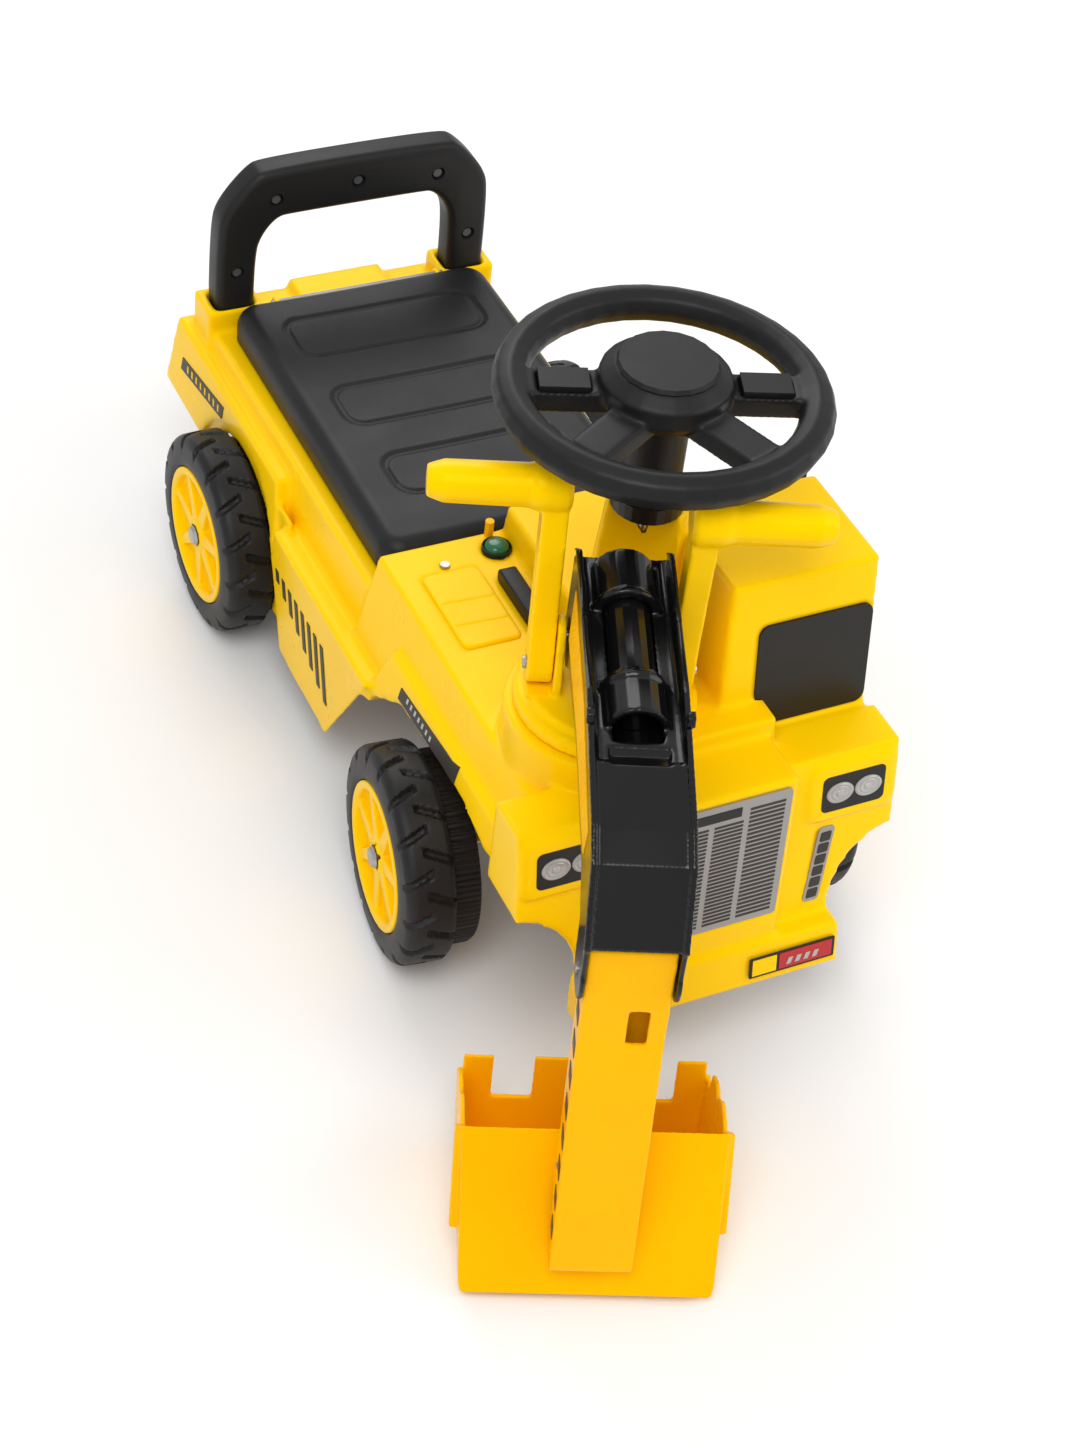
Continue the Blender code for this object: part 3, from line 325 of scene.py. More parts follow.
def on_face(name, outline, on, sunk, lift, place=CAR):
    """A plate over a face; on(a, b, out) gives the point of the face at (a, b), moved out by some depth."""
    n = len(outline)
    verts = [on(a, b, out) for out in (-sunk, lift) for a, b in outline]
    faces = [list(range(n))[::-1], list(range(n, 2 * n))]
    faces += [[i, (i + 1) % n, n + (i + 1) % n, n + i] for i in range(n)]
    return outward(mesh_piece(name, verts, faces, place))


def sticker(name, outline, on, lift, material, body, slot, *nodes, sunk=0.0004, place=CAR):
    """A thin plate laid on a face."""
    made = on_face(name, outline, on, sunk, lift, place)
    return put(made, material, body, slot, *nodes, smooth=False)


def trimmed(name, node, width, material, body, slot):
    """A solid with its edges rounded by a bevel."""
    return put(bevelled(merged(name, frame["nodes"][node]), width, 3, 25), material, body, slot, node)


SIDES = {"right": -1, "left": 1}

# %% [markdown]
# ## The body shell
# On the real toy one large blow-moulded shell carries everything. Its solid is remeshed into 1.8 mm cells
# and relaxed, so fenders, cab, deck and fascia get the rounded edges of a moulding.

# %% Planes of the front
def leaning(node):
    """The front plane of a leaning plate, as a function of (x, z, out)."""
    points = [CAR.inverted() @ v.co for v in frame["nodes"][node].data.vertices]
    low, high = min(p.z for p in points), max(p.z for p in points)
    y_low = min(p.y for p in points if p.z < low + 0.002)
    y_high = min(p.y for p in points if p.z > high - 0.002)
    lean = (y_high - y_low) / (high - low)
    length = hypot(1, lean)
    return lambda x, z, out: (x, y_low + (z - low) * lean - out / length, z + out * lean / length)


def frame_of(node):
    low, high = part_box(node)
    low, high = low - CAR.translation, high - CAR.translation
    return low.x, high.x, low.z, high.z


# %% The body
LAMP_FRAME = 0.0024


def lamp_frames():
    for word in SIDES:
        x0, x1, z0, z1 = frame_of(f"headlight_{word}")
        outline = corner_arcs(x0 - 0.0085, x1 + 0.0085, z0 - 0.0062, z1 + 0.0072, 0.006)
        yield on_face("lamp_frame", outline, leaning(f"headlight_{word}"), 0.0030, LAMP_FRAME)


moulded("car_body", "body_shell", 0.0018, 12, YELLOW, "car", "body_yellow", *lamp_frames())

# %% [markdown]
# ## Digger arm
# The turntable, the levers, the boom, the stick and the bucket are separate mouldings. They are smaller, so
# their cells are finer.

# %% Turntable and levers
LEVER_PIVOT_Z = 0.2620
LEVER_LENGTH = 0.1180
LEVER_TILT = {"right": radians(-11.0), "left": radians(2.0)}


def grip_collar(word):
    """The ring where a lever's grip meets its plate."""
    side, tilt = SIDES[word], LEVER_TILT[word]
    base = ARM @ Matrix.Translation((0, 0, LEVER_PIVOT_Z)) @ Matrix.Rotation(tilt, 4, "Y")
    base = base @ Matrix.Translation((0, 0, LEVER_LENGTH)) @ Matrix.Rotation(-side * pi / 2, 4, "X")
    profile = [(0, 0.0330), (0.0120, 0.0330), (0.0148, 0.0355), (0.0152, 0.0400), (0.0152, 0.0500),
               (0.0146, 0.0540), (0.0136, 0.0560), (0, 0.0560)]
    yield turned("collar", profile, base, 48)


moulded("arm_turntable", "turntable", 0.0011, 5, YELLOW, "arm_table", "arm_yellow")
for word in SIDES:
    moulded(f"arm_lever_{word}", f"lever_{word}", 0.0011, 7, YELLOW, f"lever_{word}_body", "arm_yellow",
            *grip_collar(word))

# %% Boom
BOOM_HALF = 0.0280
EDGE = [(-0.0140, 0.3400), (-0.0040, 0.3478), (0.1120, 0.3462), (0.1980, 0.3294), (0.2188, 0.3186),
        (0.2392, 0.2725)]
NUB = [(0.1300, 0.3440), (0.1300, 0.3500), (0.1360, 0.3490), (0.1380, 0.3430)]
SLEEVE_Z = 0.3300
SLEEVE_BANDS = ((0.0290, 0.0045), (0.0990, 0.0030))


def boom_extras():
    """Raised edges along both sides, a nub on each, and a band round the upper sleeve."""
    outline = EDGE + [(s - 0.0035, z - 0.0045) for s, z in EDGE[::-1]]
    for side in SIDES.values():
        yield prism("rail", outline, side * 0.0250, side * 0.0286, ARM, "e")
        yield prism("nub", NUB, side * 0.0252, side * 0.0300, ARM, "e")
    along = ARM @ Matrix.Translation((0, 0, SLEEVE_Z)) @ Matrix.Rotation(pi / 2, 4, "Y")
    for start, width in SLEEVE_BANDS:
        end = start + width
        band = [(0.0150, start), (0.0203, start), (0.0203, end), (0.0150, end)]
        yield turned("band", band, along, 48, loop=True)


def boom_cutters():
    """Thins the side walls of the tray, and dishes the top ahead of it."""
    wall = [(-0.0300, 0.3350), (0.1560, 0.3350), (0.1740, 0.3500), (-0.0300, 0.3500)]
    for side in SIDES.values():
        yield prism("wall", wall, side * 0.0200, side * 0.0252, ARM, "e")
    dish = [(0.1440, 0.3330), (0.1500, 0.3318), (0.1590, 0.3345), (0.1590, 0.3500), (0.1440, 0.3500)]
    yield prism("dish", dish, -0.0170, 0.0170, ARM, "e")


moulded("arm_boom", "boom", 0.0010, 4, GLOSSY, "boom_body", "boom_black", *boom_extras(),
        cutters=boom_cutters())


def on_arm_side(half):
    """The picture of an arm's flat side, as a function of (s, z, out)."""
    return lambda s, z, out: (s, -half - out, z)


BOOM_SIDE = [(0.0150, 0.2945), (0.1000, 0.2990), (0.1850, 0.2910), (0.1900, 0.3130), (0.1100, 0.3310),
             (0.0150, 0.3320)]
sticker("boom_side", BOOM_SIDE, on_arm_side(BOOM_HALF), 0.0005, AMBER, "boom_body", "digger_orange",
        place=ARM)

# %% Stick
STICK_HALF = 0.0244
LINER = [(0.2150, 0.2350), (0.2178, 0.2350), (0.2308, 0.1300), (0.2280, 0.1300)]
stick_liner = prism("liner", LINER, 0.0030 - STICK_HALF, STICK_HALF - 0.0030, ARM, "e")
moulded("arm_stick", "stick", 0.0010, 5, AMBER, "stick_body", "digger_orange", stick_liner)
SQUARES = 9
SQUARE_PITCH = 0.0222
TOP_SQUARE_Z = 0.2380
FRONT_EDGE = (0.2385, 0.2000)
FRONT_SLOPE = 0.19


def stick_squares():
    """A ladder of small squares down the stick's side, along its front edge."""
    marks = []
    on_stick = on_arm_side(STICK_HALF)
    for k in range(SQUARES):
        z = TOP_SQUARE_Z - SQUARE_PITCH * k
        front = FRONT_EDGE[0] + (FRONT_EDGE[1] - z) * FRONT_SLOPE
        wide = 0.0115 - 0.0004 * k
        outline = [(front - 0.0035, z), (front - 0.0035 - wide, z + 0.0012),
                   (front - 0.0018 - wide, z - 0.0088), (front - 0.0017, z - 0.0100)]
        marks.append(sticker("square", outline, on_stick, 0.0004, INK, "stick_body", "trim_black", place=ARM))
    put(merged("stick_marks", *marks), INK, "stick_body", "trim_black", smooth=False)


stick_squares()

# %% Bucket
moulded("arm_bucket", "bucket", 0.0011, 6, AMBER, "bucket_body", "digger_orange")

# %% [markdown]
# ## Seat
# The seat is a thin lid with a broad soft edge and three pressed panels, each ringed by a shallow channel.
# The channels are finer than any remesh cell, so the top is a dense grid whose height is computed at every
# point: the rounded edge first, then the channel around each panel.

# %% Seat lid
seat_low, seat_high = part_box("seat_lid")
seat_low, seat_high = CAR.inverted() @ seat_low, CAR.inverted() @ seat_high
SEAT_EDGE = 0.0130
SEAT_CORNER = 0.0180
PANELS = [(0.0735, 0.354, 0.404), (0.0705, 0.272, 0.320), (0.0660, 0.193, 0.240)]


def round_box(x, y, half_x, half_y, radius):
    """Distance outside a rectangle with round corners; negative inside."""
    qx, qy = np.abs(x) - half_x + radius, np.abs(y) - half_y + radius
    outside = np.hypot(np.maximum(qx, 0), np.maximum(qy, 0))
    return outside + np.minimum(np.maximum(qx, qy), 0) - radius


def smooth_step(t):
    t = np.clip(t, 0, 1)
    return t * t * (3 - 2 * t)


SEAT_MIDDLE = (seat_low.y + seat_high.y) / 2
SEAT_COLUMNS, SEAT_ROWS = 150, 224
CHANNEL_DEPTH = 0.0012
RIM_MIDDLE = 0.289


def seat_height(x, y):
    """The top's height: a quarter-round edge, a channel round each panel and a slightly hollow middle."""
    inside = -round_box(x, y - SEAT_MIDDLE, seat_high.x, (seat_high.y - seat_low.y) / 2, SEAT_CORNER)
    fall = np.clip(1 - inside / SEAT_EDGE, 0, 1)
    height = seat_high.z - SEAT_EDGE * (1 - np.sqrt(np.maximum(0, 1 - fall**2)))
    for half, front, rear in PANELS:
        ring = round_box(x, y - (front + rear) / 2, half, (rear - front) / 2, 0.016)
        height -= CHANNEL_DEPTH * smooth_step((0.0030 - np.abs(ring + 0.0022)) / 0.0016)
        height -= 0.0004 * smooth_step(-ring / 0.004)
    return height - 0.0012 * np.clip(1 - (x / 0.09) ** 2, 0, 1)


def seat_lid():
    """The top as a grid whose corners are pulled round, then the sides and an underside rim."""
    columns, rows = SEAT_COLUMNS, SEAT_ROWS
    xs = np.linspace(-1, 1, columns + 1)
    ys = np.linspace(0, 1, rows + 1)
    verts = []
    for v in ys:
        for u in xs:
            x = u * seat_high.x
            y = seat_low.y + v * (seat_high.y - seat_low.y)
            cx = seat_high.x - SEAT_CORNER
            cy = y - min(max(y, seat_low.y + SEAT_CORNER), seat_high.y - SEAT_CORNER)
            dx = x - min(max(x, -cx), cx)
            if dx and cy and hypot(dx, cy) > SEAT_CORNER:
                scale = SEAT_CORNER / hypot(dx, cy)
                x, y = x - dx + dx * scale, y - cy + cy * scale
            verts.append((x, y))
    flat = np.array(verts)
    heights = seat_height(flat[:, 0], flat[:, 1])
    verts = [(x, y, z) for (x, y), z in zip(verts, heights)]
    step = columns + 1
    faces = [[j * step + i, j * step + i + 1, (j + 1) * step + i + 1, (j + 1) * step + i]
             for j in range(rows) for i in range(columns)]
    edge = [i for i in range(columns)] + [j * step + columns for j in range(rows)]
    edge += [rows * step + i for i in range(columns, 0, -1)] + [j * step for j in range(rows, 0, -1)]
    start = len(verts)
    for drop, inset in ((seat_low.z + 0.0008, 1.0), (seat_low.z, 0.994), (seat_low.z, 0.95)):
        verts += [(verts[k][0] * inset, (verts[k][1] - RIM_MIDDLE) * inset + RIM_MIDDLE, drop) for k in edge]
    n = len(edge)
    for ring in range(3):
        below = start + ring * n
        for k in range(n):
            j = (k + 1) % n
            above = (edge[k], edge[j]) if ring == 0 else (below - n + k, below - n + j)
            faces.append([above[0], below + k, below + j, above[1]])
    return outward(mesh_piece("seat_cover", verts, faces))


put(seat_lid(), LEATHERY, "seat", "seat_black", "seat_lid")
print("seat", [round(v * 1000) for v in seat_high - seat_low], "mm")

# %% [markdown]
# ## Push handle
# Two half shells are screwed together into one thick loop. From outside only the soft outer form and the
# five screw wells count, so the loop is one outline pushed out, with wide bevels, and the wells are cut in.

# %% Push handle
HANDLE_Y = [
    (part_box("handle_front_half")[0] - CAR.translation).y,
    (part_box("handle_rear_half")[1] - CAR.translation).y,
]
LOOP = [(0.1049, 0.1565), (0.1049, 0.2520), (0.1000, 0.2700), (0.0800, 0.2935), (0.0680, 0.2989)]
WINDOW = [(0.0756, 0.1565), (0.0756, 0.2300), (0.0705, 0.2460), (0.0600, 0.2580), (0.0500, 0.2590)]
WELL = [(0, 0), (0.0058, 0), (0.0050, 0.0062), (0.0042, 0.0078), (0, 0.0078)]


def push_handle():
    """The loop, with a well for each screw."""
    outline = LOOP + [(-x, z) for x, z in LOOP[::-1]] + [(-x, z) for x, z in WINDOW] + WINDOW[::-1]
    loop = bevelled(prism("push_handle", rounded(outline, 3), *HANDLE_Y, axis="y"), 0.0055, 5, 50)
    wells = []
    for number in range(1, 6):
        low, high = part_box(f"handle_screw_{number}")
        place = Matrix.Translation(((low.x + high.x) / 2, low.y - 0.006, (low.z + high.z) / 2))
        place = place @ Matrix.Rotation(-pi / 2, 4, "X")
        wells.append(turned("well", WELL, place, 32))
    return carved(loop, *wells)


put(push_handle(), SATIN, "car", "handle_black", "handle_front_half", "handle_rear_half")

# %% [markdown]
# ## Wheels
# Each wheel is one blow-moulded tyre with a narrower ribbed drum on its inner side, a yellow rim cover with
# tapered spokes, and a metal axle end. Tread and ribs repeat around the axle, so the tyre's radius is
# computed from the angle: blocks alternate between the two shoulders, and the drum carries fine ribs.

# %% Tyre
wheel_low, wheel_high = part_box("rear_left_tyre")
WHEEL_OUT = (wheel_high - CAR.translation).x
WHEEL_IN = (wheel_low - CAR.translation).x
TREAD_IN = 0.1230
DRUM_RADIUS = 0.0640
RIM_RADIUS = 0.0500
BORE = 0.0046
BLOCKS = 16
RIBS = 100


def tyre_profile():
    """(radius, height, what) down the tyre: sidewall, shoulder, tread, inner wall, drum, back."""
    points = [(RIM_RADIUS + 0.0004, WHEEL_OUT - 0.0080, "plain"),
              (RIM_RADIUS + 0.0006, WHEEL_OUT - 0.0012, "plain"),
              (0.0520, WHEEL_OUT - 0.0002, "plain"), (0.0560, WHEEL_OUT, "plain")]
    points += [(0.0560 + 0.0088 * k / 5, WHEEL_OUT - 0.0008 * (k / 5) ** 2, "wall") for k in range(1, 6)]
    for k in range(1, 9):
        turn = pi / 2 * k / 8
        points.append((0.0648 + 0.0076 * sin(turn), WHEEL_OUT - 0.0008 - 0.0080 * (1 - cos(turn)), "tread"))
    for k in range(1, 15):
        crown = WHEEL_RADIUS - 0.0002 + 0.0002 * sin(pi * k / 14)
        points.append((crown, WHEEL_OUT - 0.0088 - 0.0218 * k / 14, "tread"))
    points += [(WHEEL_RADIUS - 0.0018, TREAD_IN + 0.0008, "tread"), (0.0690, TREAD_IN, "plain"),
               (DRUM_RADIUS, TREAD_IN, "plain"), (DRUM_RADIUS, TREAD_IN - 0.0012, "rib"),
               (DRUM_RADIUS, WHEEL_IN + 0.0030, "rib"), (DRUM_RADIUS - 0.0014, WHEEL_IN + 0.0006, "plain"),
               (0.0590, WHEEL_IN, "plain"), (0.0150, WHEEL_IN, "plain"), (BORE, WHEEL_IN, "plain")]
    return points


def tyre_radius(radius, height, what, angle):
    """The radius at each angle: grooves between the drum's ribs, and slanted blocks on the tread."""
    if what == "rib":
        return radius - 0.0013 * (0.5 + 0.5 * np.sign(np.cos(angle * RIBS)))
    if what == "plain":
        return radius + 0 * angle
    across_tread = (height - TREAD_IN) / (WHEEL_OUT - TREAD_IN)
    slant = 0.55 * (across_tread - 0.5)
    near = np.abs((angle * BLOCKS / (2 * pi) + slant) % 1 - 0.5)
    far = np.abs((angle * BLOCKS / (2 * pi) + 0.5 - slant) % 1 - 0.5)
    outer = smooth_step((0.115 - near) / 0.05) * smooth_step((across_tread - 0.40) / 0.08)
    inner = smooth_step((0.115 - far) / 0.05) * smooth_step((0.60 - across_tread) / 0.08)
    depth = 0.0034 if what == "tread" else 0.0016 * smooth_step((radius - 0.0575) / 0.006)
    return radius - depth * np.maximum(outer, inner)


def tyre(name, place):
    """The profile turned about the axle, with four points to a rib."""
    count = RIBS * 4
    angle = np.arange(count) * 2 * pi / count
    verts, faces = [], []
    profile = tyre_profile()
    for radius, height, what in profile:
        ring = tyre_radius(radius, height, what, angle)
        verts += [(r * cos(t), r * sin(t), height) for r, t in zip(ring, angle)]
    for i in range(len(profile) - 1):
        for k in range(count):
            j = (k + 1) % count
            faces.append([i * count + k, i * count + j, (i + 1) * count + j, (i + 1) * count + k])
    back = [(len(profile) - 1) * count + k for k in range(count)]
    faces += [back[::-1], list(range(count))]
    return mesh_piece(name, verts, faces, place)


# %% Rim cover and wheels
SPOKES = 7
FIRST_SPOKE = 0.3
SPOKE = [(0.0080, -0.0056), (0.0440, -0.0036), (0.0440, 0.0036), (0.0080, 0.0056)]


def rim_cover(name, place):
    """A dished disc with a raised rim, a hub and tapered spokes."""
    outer, floor_at, hub = WHEEL_OUT + 0.0003, WHEEL_OUT - 0.0068, WHEEL_OUT - 0.0004
    back_at = WHEEL_OUT - 0.0084
    profile = [(BORE, back_at), (RIM_RADIUS - 0.0001, back_at), (RIM_RADIUS - 0.0001, outer - 0.0006),
               (0.0493, outer), (0.0455, outer), (0.0438, outer - 0.0012), (0.0425, floor_at),
               (0.0160, floor_at), (0.0125, hub - 0.002), (0.0108, hub), (BORE, hub)]
    dish = turned("dish", profile, place, 96)
    spokes = []
    for k in range(SPOKES):
        turn = place @ Matrix.Rotation(2 * pi * k / SPOKES + FIRST_SPOKE, 4, "Z")
        spokes.append(prism("spoke", SPOKE, floor_at - 0.001, outer - 0.0024, turn))
    return softened(merged(name, dish, *spokes), 0.0009, 3)


def wheels():
    for name in ("front_left", "front_right", "rear_left", "rear_right"):
        joint = joints[f"{name}_roll"]
        side = SIDES[name.split("_")[1]]
        axle = Vector(joint["axis"])
        if axle.x * side < 0:
            axle = -axle
        upward = Vector((0, 0, 1))
        turn = Matrix((upward.cross(axle), upward, axle)).transposed().to_4x4()
        place = Matrix.Translation(Vector(joint["pos_m"])) @ turn
        wheel_body = f"{name}_wheel"
        put(outward(tyre(f"tyre_{name}", place)), TYRE, wheel_body, "tyre_black", f"{name}_tyre")
        put(rim_cover(f"rim_{name}", place), RIM, wheel_body, "rim_yellow", f"{name}_rim")


wheels()
print("wheels:", BLOCKS, "blocks a shoulder,", RIBS, "ribs a drum")

# %% [markdown]
# ## Steering wheel
# A thick ring, a stepped hub and four spokes flow into each other. The relaxed cells give those soft joins.

# %% Steering wheel
moulded("hand_wheel", "steering_wheel", 0.0014, 8, SATIN, "steering", "wheel_black")
trimmed("hub_disc", "hub_cap", 0.0010, SATIN, "steering", "wheel_black")
for word in SIDES:
    trimmed(f"pad_{word}", f"horn_pad_{word}", 0.0014, SATIN, f"horn_{word}", "wheel_black")

# %% [markdown]
# ## Stickers and set-in panels
# The printed details are thin vinyl stickers laid on flat faces: a grille, side vents, lamps, hazard bars and
# scale strips. Their lines would be lost in a smooth shell, so each is its own thin plate, laid on the plane
# of the face that it sticks to. All of them are plain patterns without lettering.

# %% Grille
on_grille = leaning("grille_panel")
x0, x1, z0, z1 = frame_of("grille_panel")
sticker("grille_plate", corner_arcs(x0, x1, z0 + 0.001, z1 - 0.001, 0.003), on_grille, 0.0002, SILVER, "car",
        "trim_grey", "grille_panel", sunk=0.0010)
SLOT_ROWS = 27
SLOT_SHARE = 0.52


def grille_slots():
    """Three columns of fine slots; the first two stop below the badge."""
    columns = [(x0 + 0.0045, x0 + 0.0285), (x0 + 0.0325, x1 - 0.0325), (x1 - 0.0285, x1 - 0.0045)]
    for number, (left, right) in enumerate(columns):
        pieces = []
        top = z1 - 0.0065 - (0.0 if number == 2 else 0.0085)
        pitch = (top - z0 - 0.0060) / SLOT_ROWS
        for row in range(SLOT_ROWS):
            z = z0 + 0.0060 + pitch * row
            top_z = z + pitch * SLOT_SHARE
            slot = [(left, z), (right, z), (right, top_z), (left, top_z)]
            pieces.append(sticker("slot", slot, on_grille, 0.0005, INK, "car", "trim_black"))
        put(merged(f"grille_slots_{number + 1}", *pieces), INK, "car", "trim_black", smooth=False)


grille_slots()
BADGE = [(x0 + 0.008, z1 - 0.0125), (x0 + 0.050, z1 - 0.0125), (x0 + 0.050, z1 - 0.0055),
         (x0 + 0.008, z1 - 0.0055)]
sticker("grille_badge", BADGE, on_grille, 0.0006, PANEL, "car", "trim_black")

# %% Vents
VENT_CELLS = 6
VENT_SLOPE = 0.15


def vent(word):
    """A slanted frame with a stack of dark cells."""
    node = f"side_vent_{word}"
    on_vent = leaning(node)
    a0, a1, c0, c1 = frame_of(node)
    middle, centre = (a0 + a1) / 2, (c0 + c1) / 2

    def on_slope(x, z, out):
        return on_vent(middle + x + SIDES[word] * VENT_SLOPE * (z - centre), z, out)

    outline = corner_arcs(-0.0056, 0.0056, c0 - 0.0006, c1 + 0.0012, 0.0030)
    sticker(f"vent_frame_{word}", outline, on_slope, 0.0005, SILVER, "car", "trim_grey", node, sunk=0.0012)
    pitch = (c1 - c0 - 0.003) / VENT_CELLS
    cells = []
    for k in range(VENT_CELLS):
        low, high = c0 + 0.0022 + pitch * k, c0 + 0.0006 + pitch * (k + 1)
        outline = corner_arcs(-0.0037, 0.0037, low, high, 0.0009, 2)
        cells.append(sticker("cell", outline, on_slope, 0.0009, INK, "car", "trim_black"))
    put(merged(f"vent_cells_{word}", *cells), INK, "car", "trim_black", smooth=False)


# %% Lamps
LENS = [(0, 0.0021), (0.0024, 0.0019), (0.0032, 0.0011), (0.0058, 0.0016), (0.0066, 0.0010),
        (0.0082, 0.0017), (0.0094, 0.0010), (0.0096, 0.0), (0, 0.0)]
LENS_FLATTENED = 0.78


def lamps(word):
    """A dark panel with two lenses."""
    node = f"headlight_{word}"
    on_lamp = leaning(node)
    a0, a1, c0, c1 = frame_of(node)
    outline = corner_arcs(a0, a1, c0, c1, 0.004)
    sticker(f"lamp_panel_{word}", outline, on_lamp, LAMP_FRAME + 0.0003, PANEL, "car", "lamp_clear", node,
            sunk=0.0012)
    for number, share in ((1, 0.28), (2, 0.73)):
        x, z = a0 + (a1 - a0) * share, (c0 + c1) / 2
        at, tip = Vector(on_lamp(x, z, LAMP_FRAME)), Vector(on_lamp(x, z, 1.0))
        place = CAR @ Matrix.Translation(at) @ (tip - at).to_track_quat("Z", "Y").to_matrix().to_4x4()
        place = place @ Matrix.Diagonal((1.0, LENS_FLATTENED, 1.0, 1.0))
        put(turned(f"lamp_{word}_{number}", LENS, place, 40), PALE, "car", "lamp_clear")


for word in SIDES:
    vent(word)
    lamps(word)

# %% Cab window and dashboard strip
on_window = leaning("cab_window_panel")
x0, x1, z0, z1 = frame_of("cab_window_panel")
sticker("cab_window", corner_arcs(x0, x1 - 0.001, z0, z1, 0.007), on_window, 0.0008, PANEL, "car",
        "trim_black", "cab_window_panel", sunk=0.0012)
trimmed("cab_strip", "dashboard_strip", 0.0020, SATIN, "car", "trim_black")
# %% Label
on_label = leaning("label_plate")
x0, x1, z0, z1 = frame_of("label_plate")
LABEL_MARKS = 4
MARK_PITCH = 0.0062


def label():
    """A dark border round a yellow square and a red field with four slanted marks."""
    middle = x0 + (x1 - x0) * 0.33
    border = corner_arcs(x0, x1, z0 + 0.0004, z1 - 0.0004, 0.001)
    square = corner_arcs(x0 + 0.002, middle - 0.001, z0 + 0.002, z1 - 0.002, 0.0005)
    field = corner_arcs(middle + 0.001, x1 - 0.002, z0 + 0.002, z1 - 0.002, 0.0005)
    sticker("label_border", border, on_label, 0.0003, PANEL, "car", "trim_black", "label_plate")
    sticker("label_square", square, on_label, 0.0006, RIM, "car", "rim_yellow")
    sticker("label_field", field, on_label, 0.0006, RED, "car", "trim_grey")
    marks = []
    for k in range(LABEL_MARKS):
        x, z = middle + 0.006 + MARK_PITCH * k, z0 + 0.0045
        outline = [(x, z), (x + 0.0032, z), (x + 0.0048, z + 0.0048), (x + 0.0016, z + 0.0048)]
        marks.append(sticker("mark", outline, on_label, 0.0009, PALE, "car", "lamp_clear"))
    put(merged("label_marks", *marks), PALE, "car", "lamp_clear", smooth=False)


label()

# %% Hazard bars on the skirts and strips on the fenders
def side_plane(side, x_low, z_low, x_high, z_high):
    """A leaning plane on one side of the body, as a function of (y, z, out)."""
    lean = (x_high - x_low) / (z_high - z_low)
    return lambda y, z, out: (side * (x_low + (z - z_low) * lean + out), y, z)


BARS = 8
BAR_PITCH = 0.0118
BAR_TOP = (0.2500, 0.1080)
BAR_LEAN = 0.28


def skirt_bars(word, side):
    """A row of slanted bars that grow towards the front."""
    on_skirt = side_plane(side, 0.1300, 0.04, 0.1300, 0.13)
    bars = []
    for k in range(BARS):
        tall = 0.009 + 0.0048 * k
        y, z = BAR_TOP[0] - BAR_PITCH * k, BAR_TOP[1]
        lean = BAR_LEAN * tall
        outline = [(y, z), (y - 0.0052, z), (y - 0.0052 - lean, z - tall), (y - lean, z - tall)]
        bars.append(sticker("bar", outline, on_skirt, 0.0006, INK, "car", "trim_black"))
    put(merged(f"skirt_bars_{word}", *bars), INK, "car", "trim_black", smooth=False)


REAR_STRIP = [(0.3800, 0.1405), (0.4600, 0.1290), (0.4600, 0.1385), (0.3800, 0.1500)]
REAR_TICKS = 8


def rear_strip(word, side):
    """A dark strip on the rear fender, with ticks like a scale's."""
    on_rear = side_plane(side, 0.1280, 0.104, 0.1200, 0.160)
    sticker(f"rear_strip_{word}", REAR_STRIP, on_rear, 0.0006, INK, "car", "trim_black")
    ticks = []
    for k in range(REAR_TICKS):
        y, z = 0.0085 * k, 0.1420 - 0.0012 * k
        outline = [(0.386 + y, z), (0.3882 + y, z), (0.3898 + y, z + 0.0044), (0.3876 + y, z + 0.0044)]
        ticks.append(sticker("tick", outline, on_rear, 0.0009, RIM, "car", "rim_yellow"))
    put(merged(f"rear_ticks_{word}", *ticks), RIM, "car", "rim_yellow", smooth=False)


FRONT_STRIP = [(0.0590, 0.1515), (0.0590, 0.1600), (-0.0080, 0.1650), (-0.0180, 0.1655),
               (-0.0276, 0.1685), (-0.0276, 0.1550), (-0.0120, 0.1550)]
FRONT_TICKS = 7


def front_strip(word, side):
    """A dark strip on the front fender, with pale ticks."""
    on_front = side_plane(side, 0.1280, 0.120, 0.1170, 0.170)
    sticker(f"front_strip_{word}", FRONT_STRIP, on_front, 0.0006, INK, "car", "trim_black")
    ticks = []
    for k in range(FRONT_TICKS):
        y = 0.006 * k
        outline = [(0.010 + y, 0.1568), (0.0122 + y, 0.1566), (0.0122 + y, 0.1602), (0.010 + y, 0.1604)]
        ticks.append(sticker("tick", outline, on_front, 0.0009, PALE, "car", "lamp_clear"))
    put(merged(f"front_ticks_{word}", *ticks), PALE, "car", "lamp_clear", smooth=False)


for word, side in SIDES.items():
    skirt_bars(word, side)
    rear_strip(word, side)
    front_strip(word, side)

# %% [markdown]
# ## Console
# Beside the seat the deck carries a battery cover with a raised frame, a screw in its well, a green button
# in a black collar and a black raised block.

# %% Battery cover and raised block
def battery_lid():
    """A plate with round corners, a raised frame and two slanted creases."""
    low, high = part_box("battery_cover")
    low, high = low - CAR.translation, high - CAR.translation
    cover = prism("battery_lid", corner_arcs(low.x, high.x, low.y, high.y, 0.005), low.z, high.z)
    outline = corner_arcs(low.x + 0.0012, high.x - 0.0012, low.y + 0.0012, high.y - 0.0012, 0.0045)
    rim = prism("rim", outline, high.z - 0.001, high.z + 0.0006)
    creases = []
    for y in (low.y + 0.022, low.y + 0.044):
        outline = [(low.x + 0.003, y), (high.x - 0.003, y - 0.002), (high.x - 0.003, y - 0.0008),
                   (low.x + 0.003, y + 0.0012)]
        creases.append(prism("crease", outline, high.z, high.z + 0.0011))
    cover = softened(merged("battery_lid", cover, rim, *creases), 0.0006, 3)
    put(cover, YELLOW, "car", "body_yellow", "battery_cover")


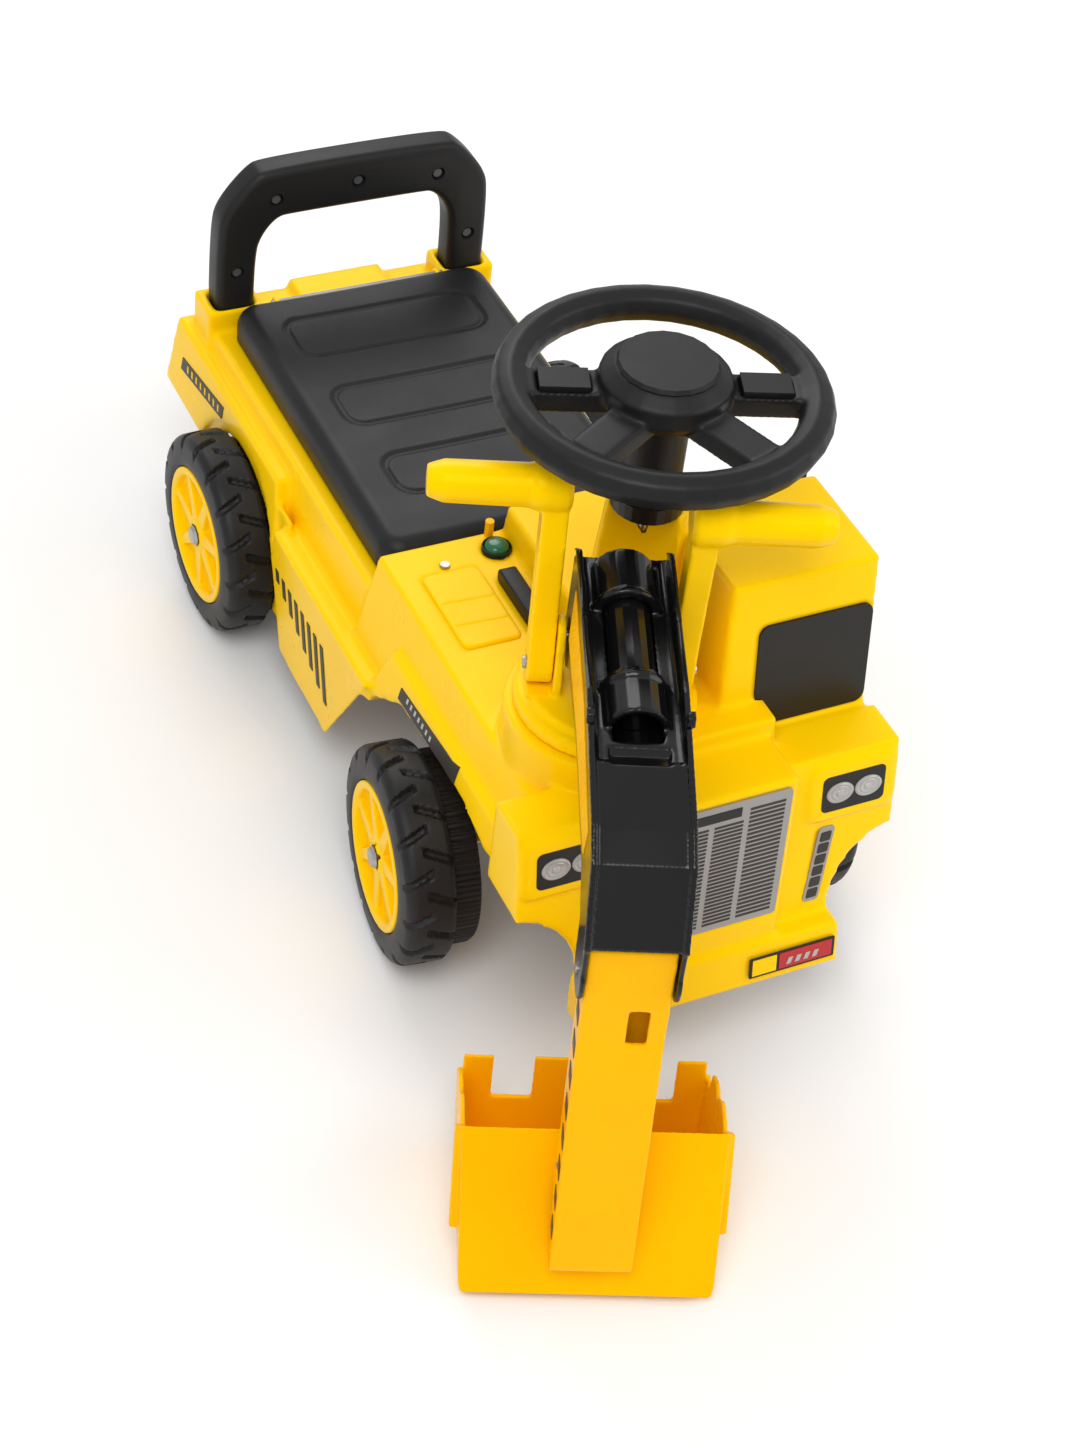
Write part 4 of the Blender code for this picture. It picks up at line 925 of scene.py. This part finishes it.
def raised_block():
    low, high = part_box("console_block")
    low, high = low - CAR.translation, high - CAR.translation
    outline = corner_arcs(low.y, high.y, low.z, high.z, 0.0035)
    block = prism("raised_block", outline, low.x, high.x, axis="x")
    put(bevelled(block, 0.0012, 3, 50), SATIN, "car", "trim_black", "console_block")


battery_lid()
raised_block()

# %% Green button and its collar
BUTTON = [(0, 0.0), (0.0040, -0.0002), (0.0066, -0.0010), (0.0080, -0.0028), (0.0084, -0.005),
          (0.0084, -0.018), (0, -0.018)]
COLLAR = [(0.0088, 0), (0.0101, 0), (0.0101, 0.0018), (0.0098, 0.0026), (0.0092, 0.0027), (0.0088, 0.0020)]


def button_and_collar():
    """Both are turned about the button's axis: the key from its top, the collar from the deck."""
    low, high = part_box("sound_button")
    place = Matrix.Translation(((low.x + high.x) / 2, (low.y + high.y) / 2, high.z))
    put(turned("green_button", BUTTON, place, 48), GREEN, "sound_button_key", "button_green", "sound_button")
    low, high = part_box("button_bezel")
    place = Matrix.Translation(((low.x + high.x) / 2, (low.y + high.y) / 2, low.z))
    put(turned("button_collar", COLLAR, place, 48), SATIN, "car", "trim_black", "button_bezel")


button_and_collar()

# %% [markdown]
# ## Everything that keeps its solid
# Pins, axles and hidden pieces already have their true shape, so they only need a finish.

# %% Finishes for the kept solids
KEPT = {
    "body_yellow": YELLOW, "arm_yellow": YELLOW, "digger_orange": AMBER, "seat_black": LEATHERY,
    "handle_black": SATIN, "wheel_black": SATIN, "boom_black": GLOSSY, "trim_black": PANEL,
    "lamp_clear": PANEL, "trim_grey": SILVER, "tyre_black": TYRE, "rim_yellow": RIM, "metal": STEEL,
    "under_black": UNDER, "button_green": GREEN,
}
SCREW = plastic("screw_grey", (0.06, 0.06, 0.062), 0.30, streak=0.12)
for piece in frame["record"]["subparts"]:
    node = frame["nodes"][piece["node"]]
    node.data.materials.clear()
    node.data.materials.append(SCREW if "handle_screw" in piece["node"] else KEPT[piece["material_slot"]])

# %% [markdown]
# ## Stage, light and camera
# The toy stands on a plain pale floor under large soft lights.

# %% Floor
FLOOR_HALF = 9


def floor():
    corners = [(-FLOOR_HALF, -FLOOR_HALF, 0), (FLOOR_HALF, -FLOOR_HALF, 0), (FLOOR_HALF, FLOOR_HALF, 0),
               (-FLOOR_HALF, FLOOR_HALF, 0)]
    made = mesh_piece("floor", corners, [[0, 1, 2, 3]], Matrix.Identity(4))
    paper = plastic("floor_paper", (0.88, 0.88, 0.88), 0.85, peel=0.02, streak=0.004, patch=0.03)
    made.data.materials.append(paper)


floor()
print("floor", 2 * FLOOR_HALF, "m wide")

# %% Lights
def soft_light(name, location, size, power, aim=(0.0, 0.0, 0.15)):
    data = bpy.data.lights.new(name, "AREA")
    data.shape = "DISK"
    data.size = size
    data.energy = power
    lamp = bpy.data.objects.new(name, data)
    lamp.location = location
    lamp.rotation_mode = "QUATERNION"
    lamp.rotation_quaternion = (Vector(aim) - Vector(location)).to_track_quat("-Z", "Y")
    bpy.context.scene.collection.objects.link(lamp)


soft_light("key", (-0.9, -1.2, 2.4), 1.5, 30)
soft_light("fill", (1.8, -1.2, 1.5), 1.6, 14)
soft_light("back", (0.4, 2.0, 2.0), 1.6, 20)
world = bpy.data.worlds.new("studio")
bpy.context.scene.world = world
world.use_nodes = True
world.node_tree.nodes["Background"].inputs["Color"].default_value = (1, 1, 1, 1)
world.node_tree.nodes["Background"].inputs["Strength"].default_value = 0.72
bpy.context.scene.view_settings.view_transform = "Standard"

# %% Camera
CAMERA_AT = CAR @ Vector((-0.6988, -1.1197, 1.3748))
AZIMUTH, ELEVATION, ROLL = radians(-30.215), radians(43.184), radians(7.7565)
back = Vector((sin(AZIMUTH) * cos(ELEVATION), -cos(AZIMUTH) * cos(ELEVATION), sin(ELEVATION)))
level = Vector((0, 0, 1)).cross(back).normalized()
upright = back.cross(level)
right = level * cos(ROLL) + upright * sin(ROLL)
up = upright * cos(ROLL) - level * sin(ROLL)
camera = bpy.data.objects.new("camera", bpy.data.cameras.new("camera"))
camera.matrix_world = Matrix.Translation(CAMERA_AT) @ Matrix((right, up, back)).transposed().to_4x4()
camera.data.sensor_width = 36.0
camera.data.lens = 69.6
bpy.context.scene.collection.objects.link(camera)
bpy.context.scene.camera = camera

# %% Update the scene
bpy.context.view_layer.update()
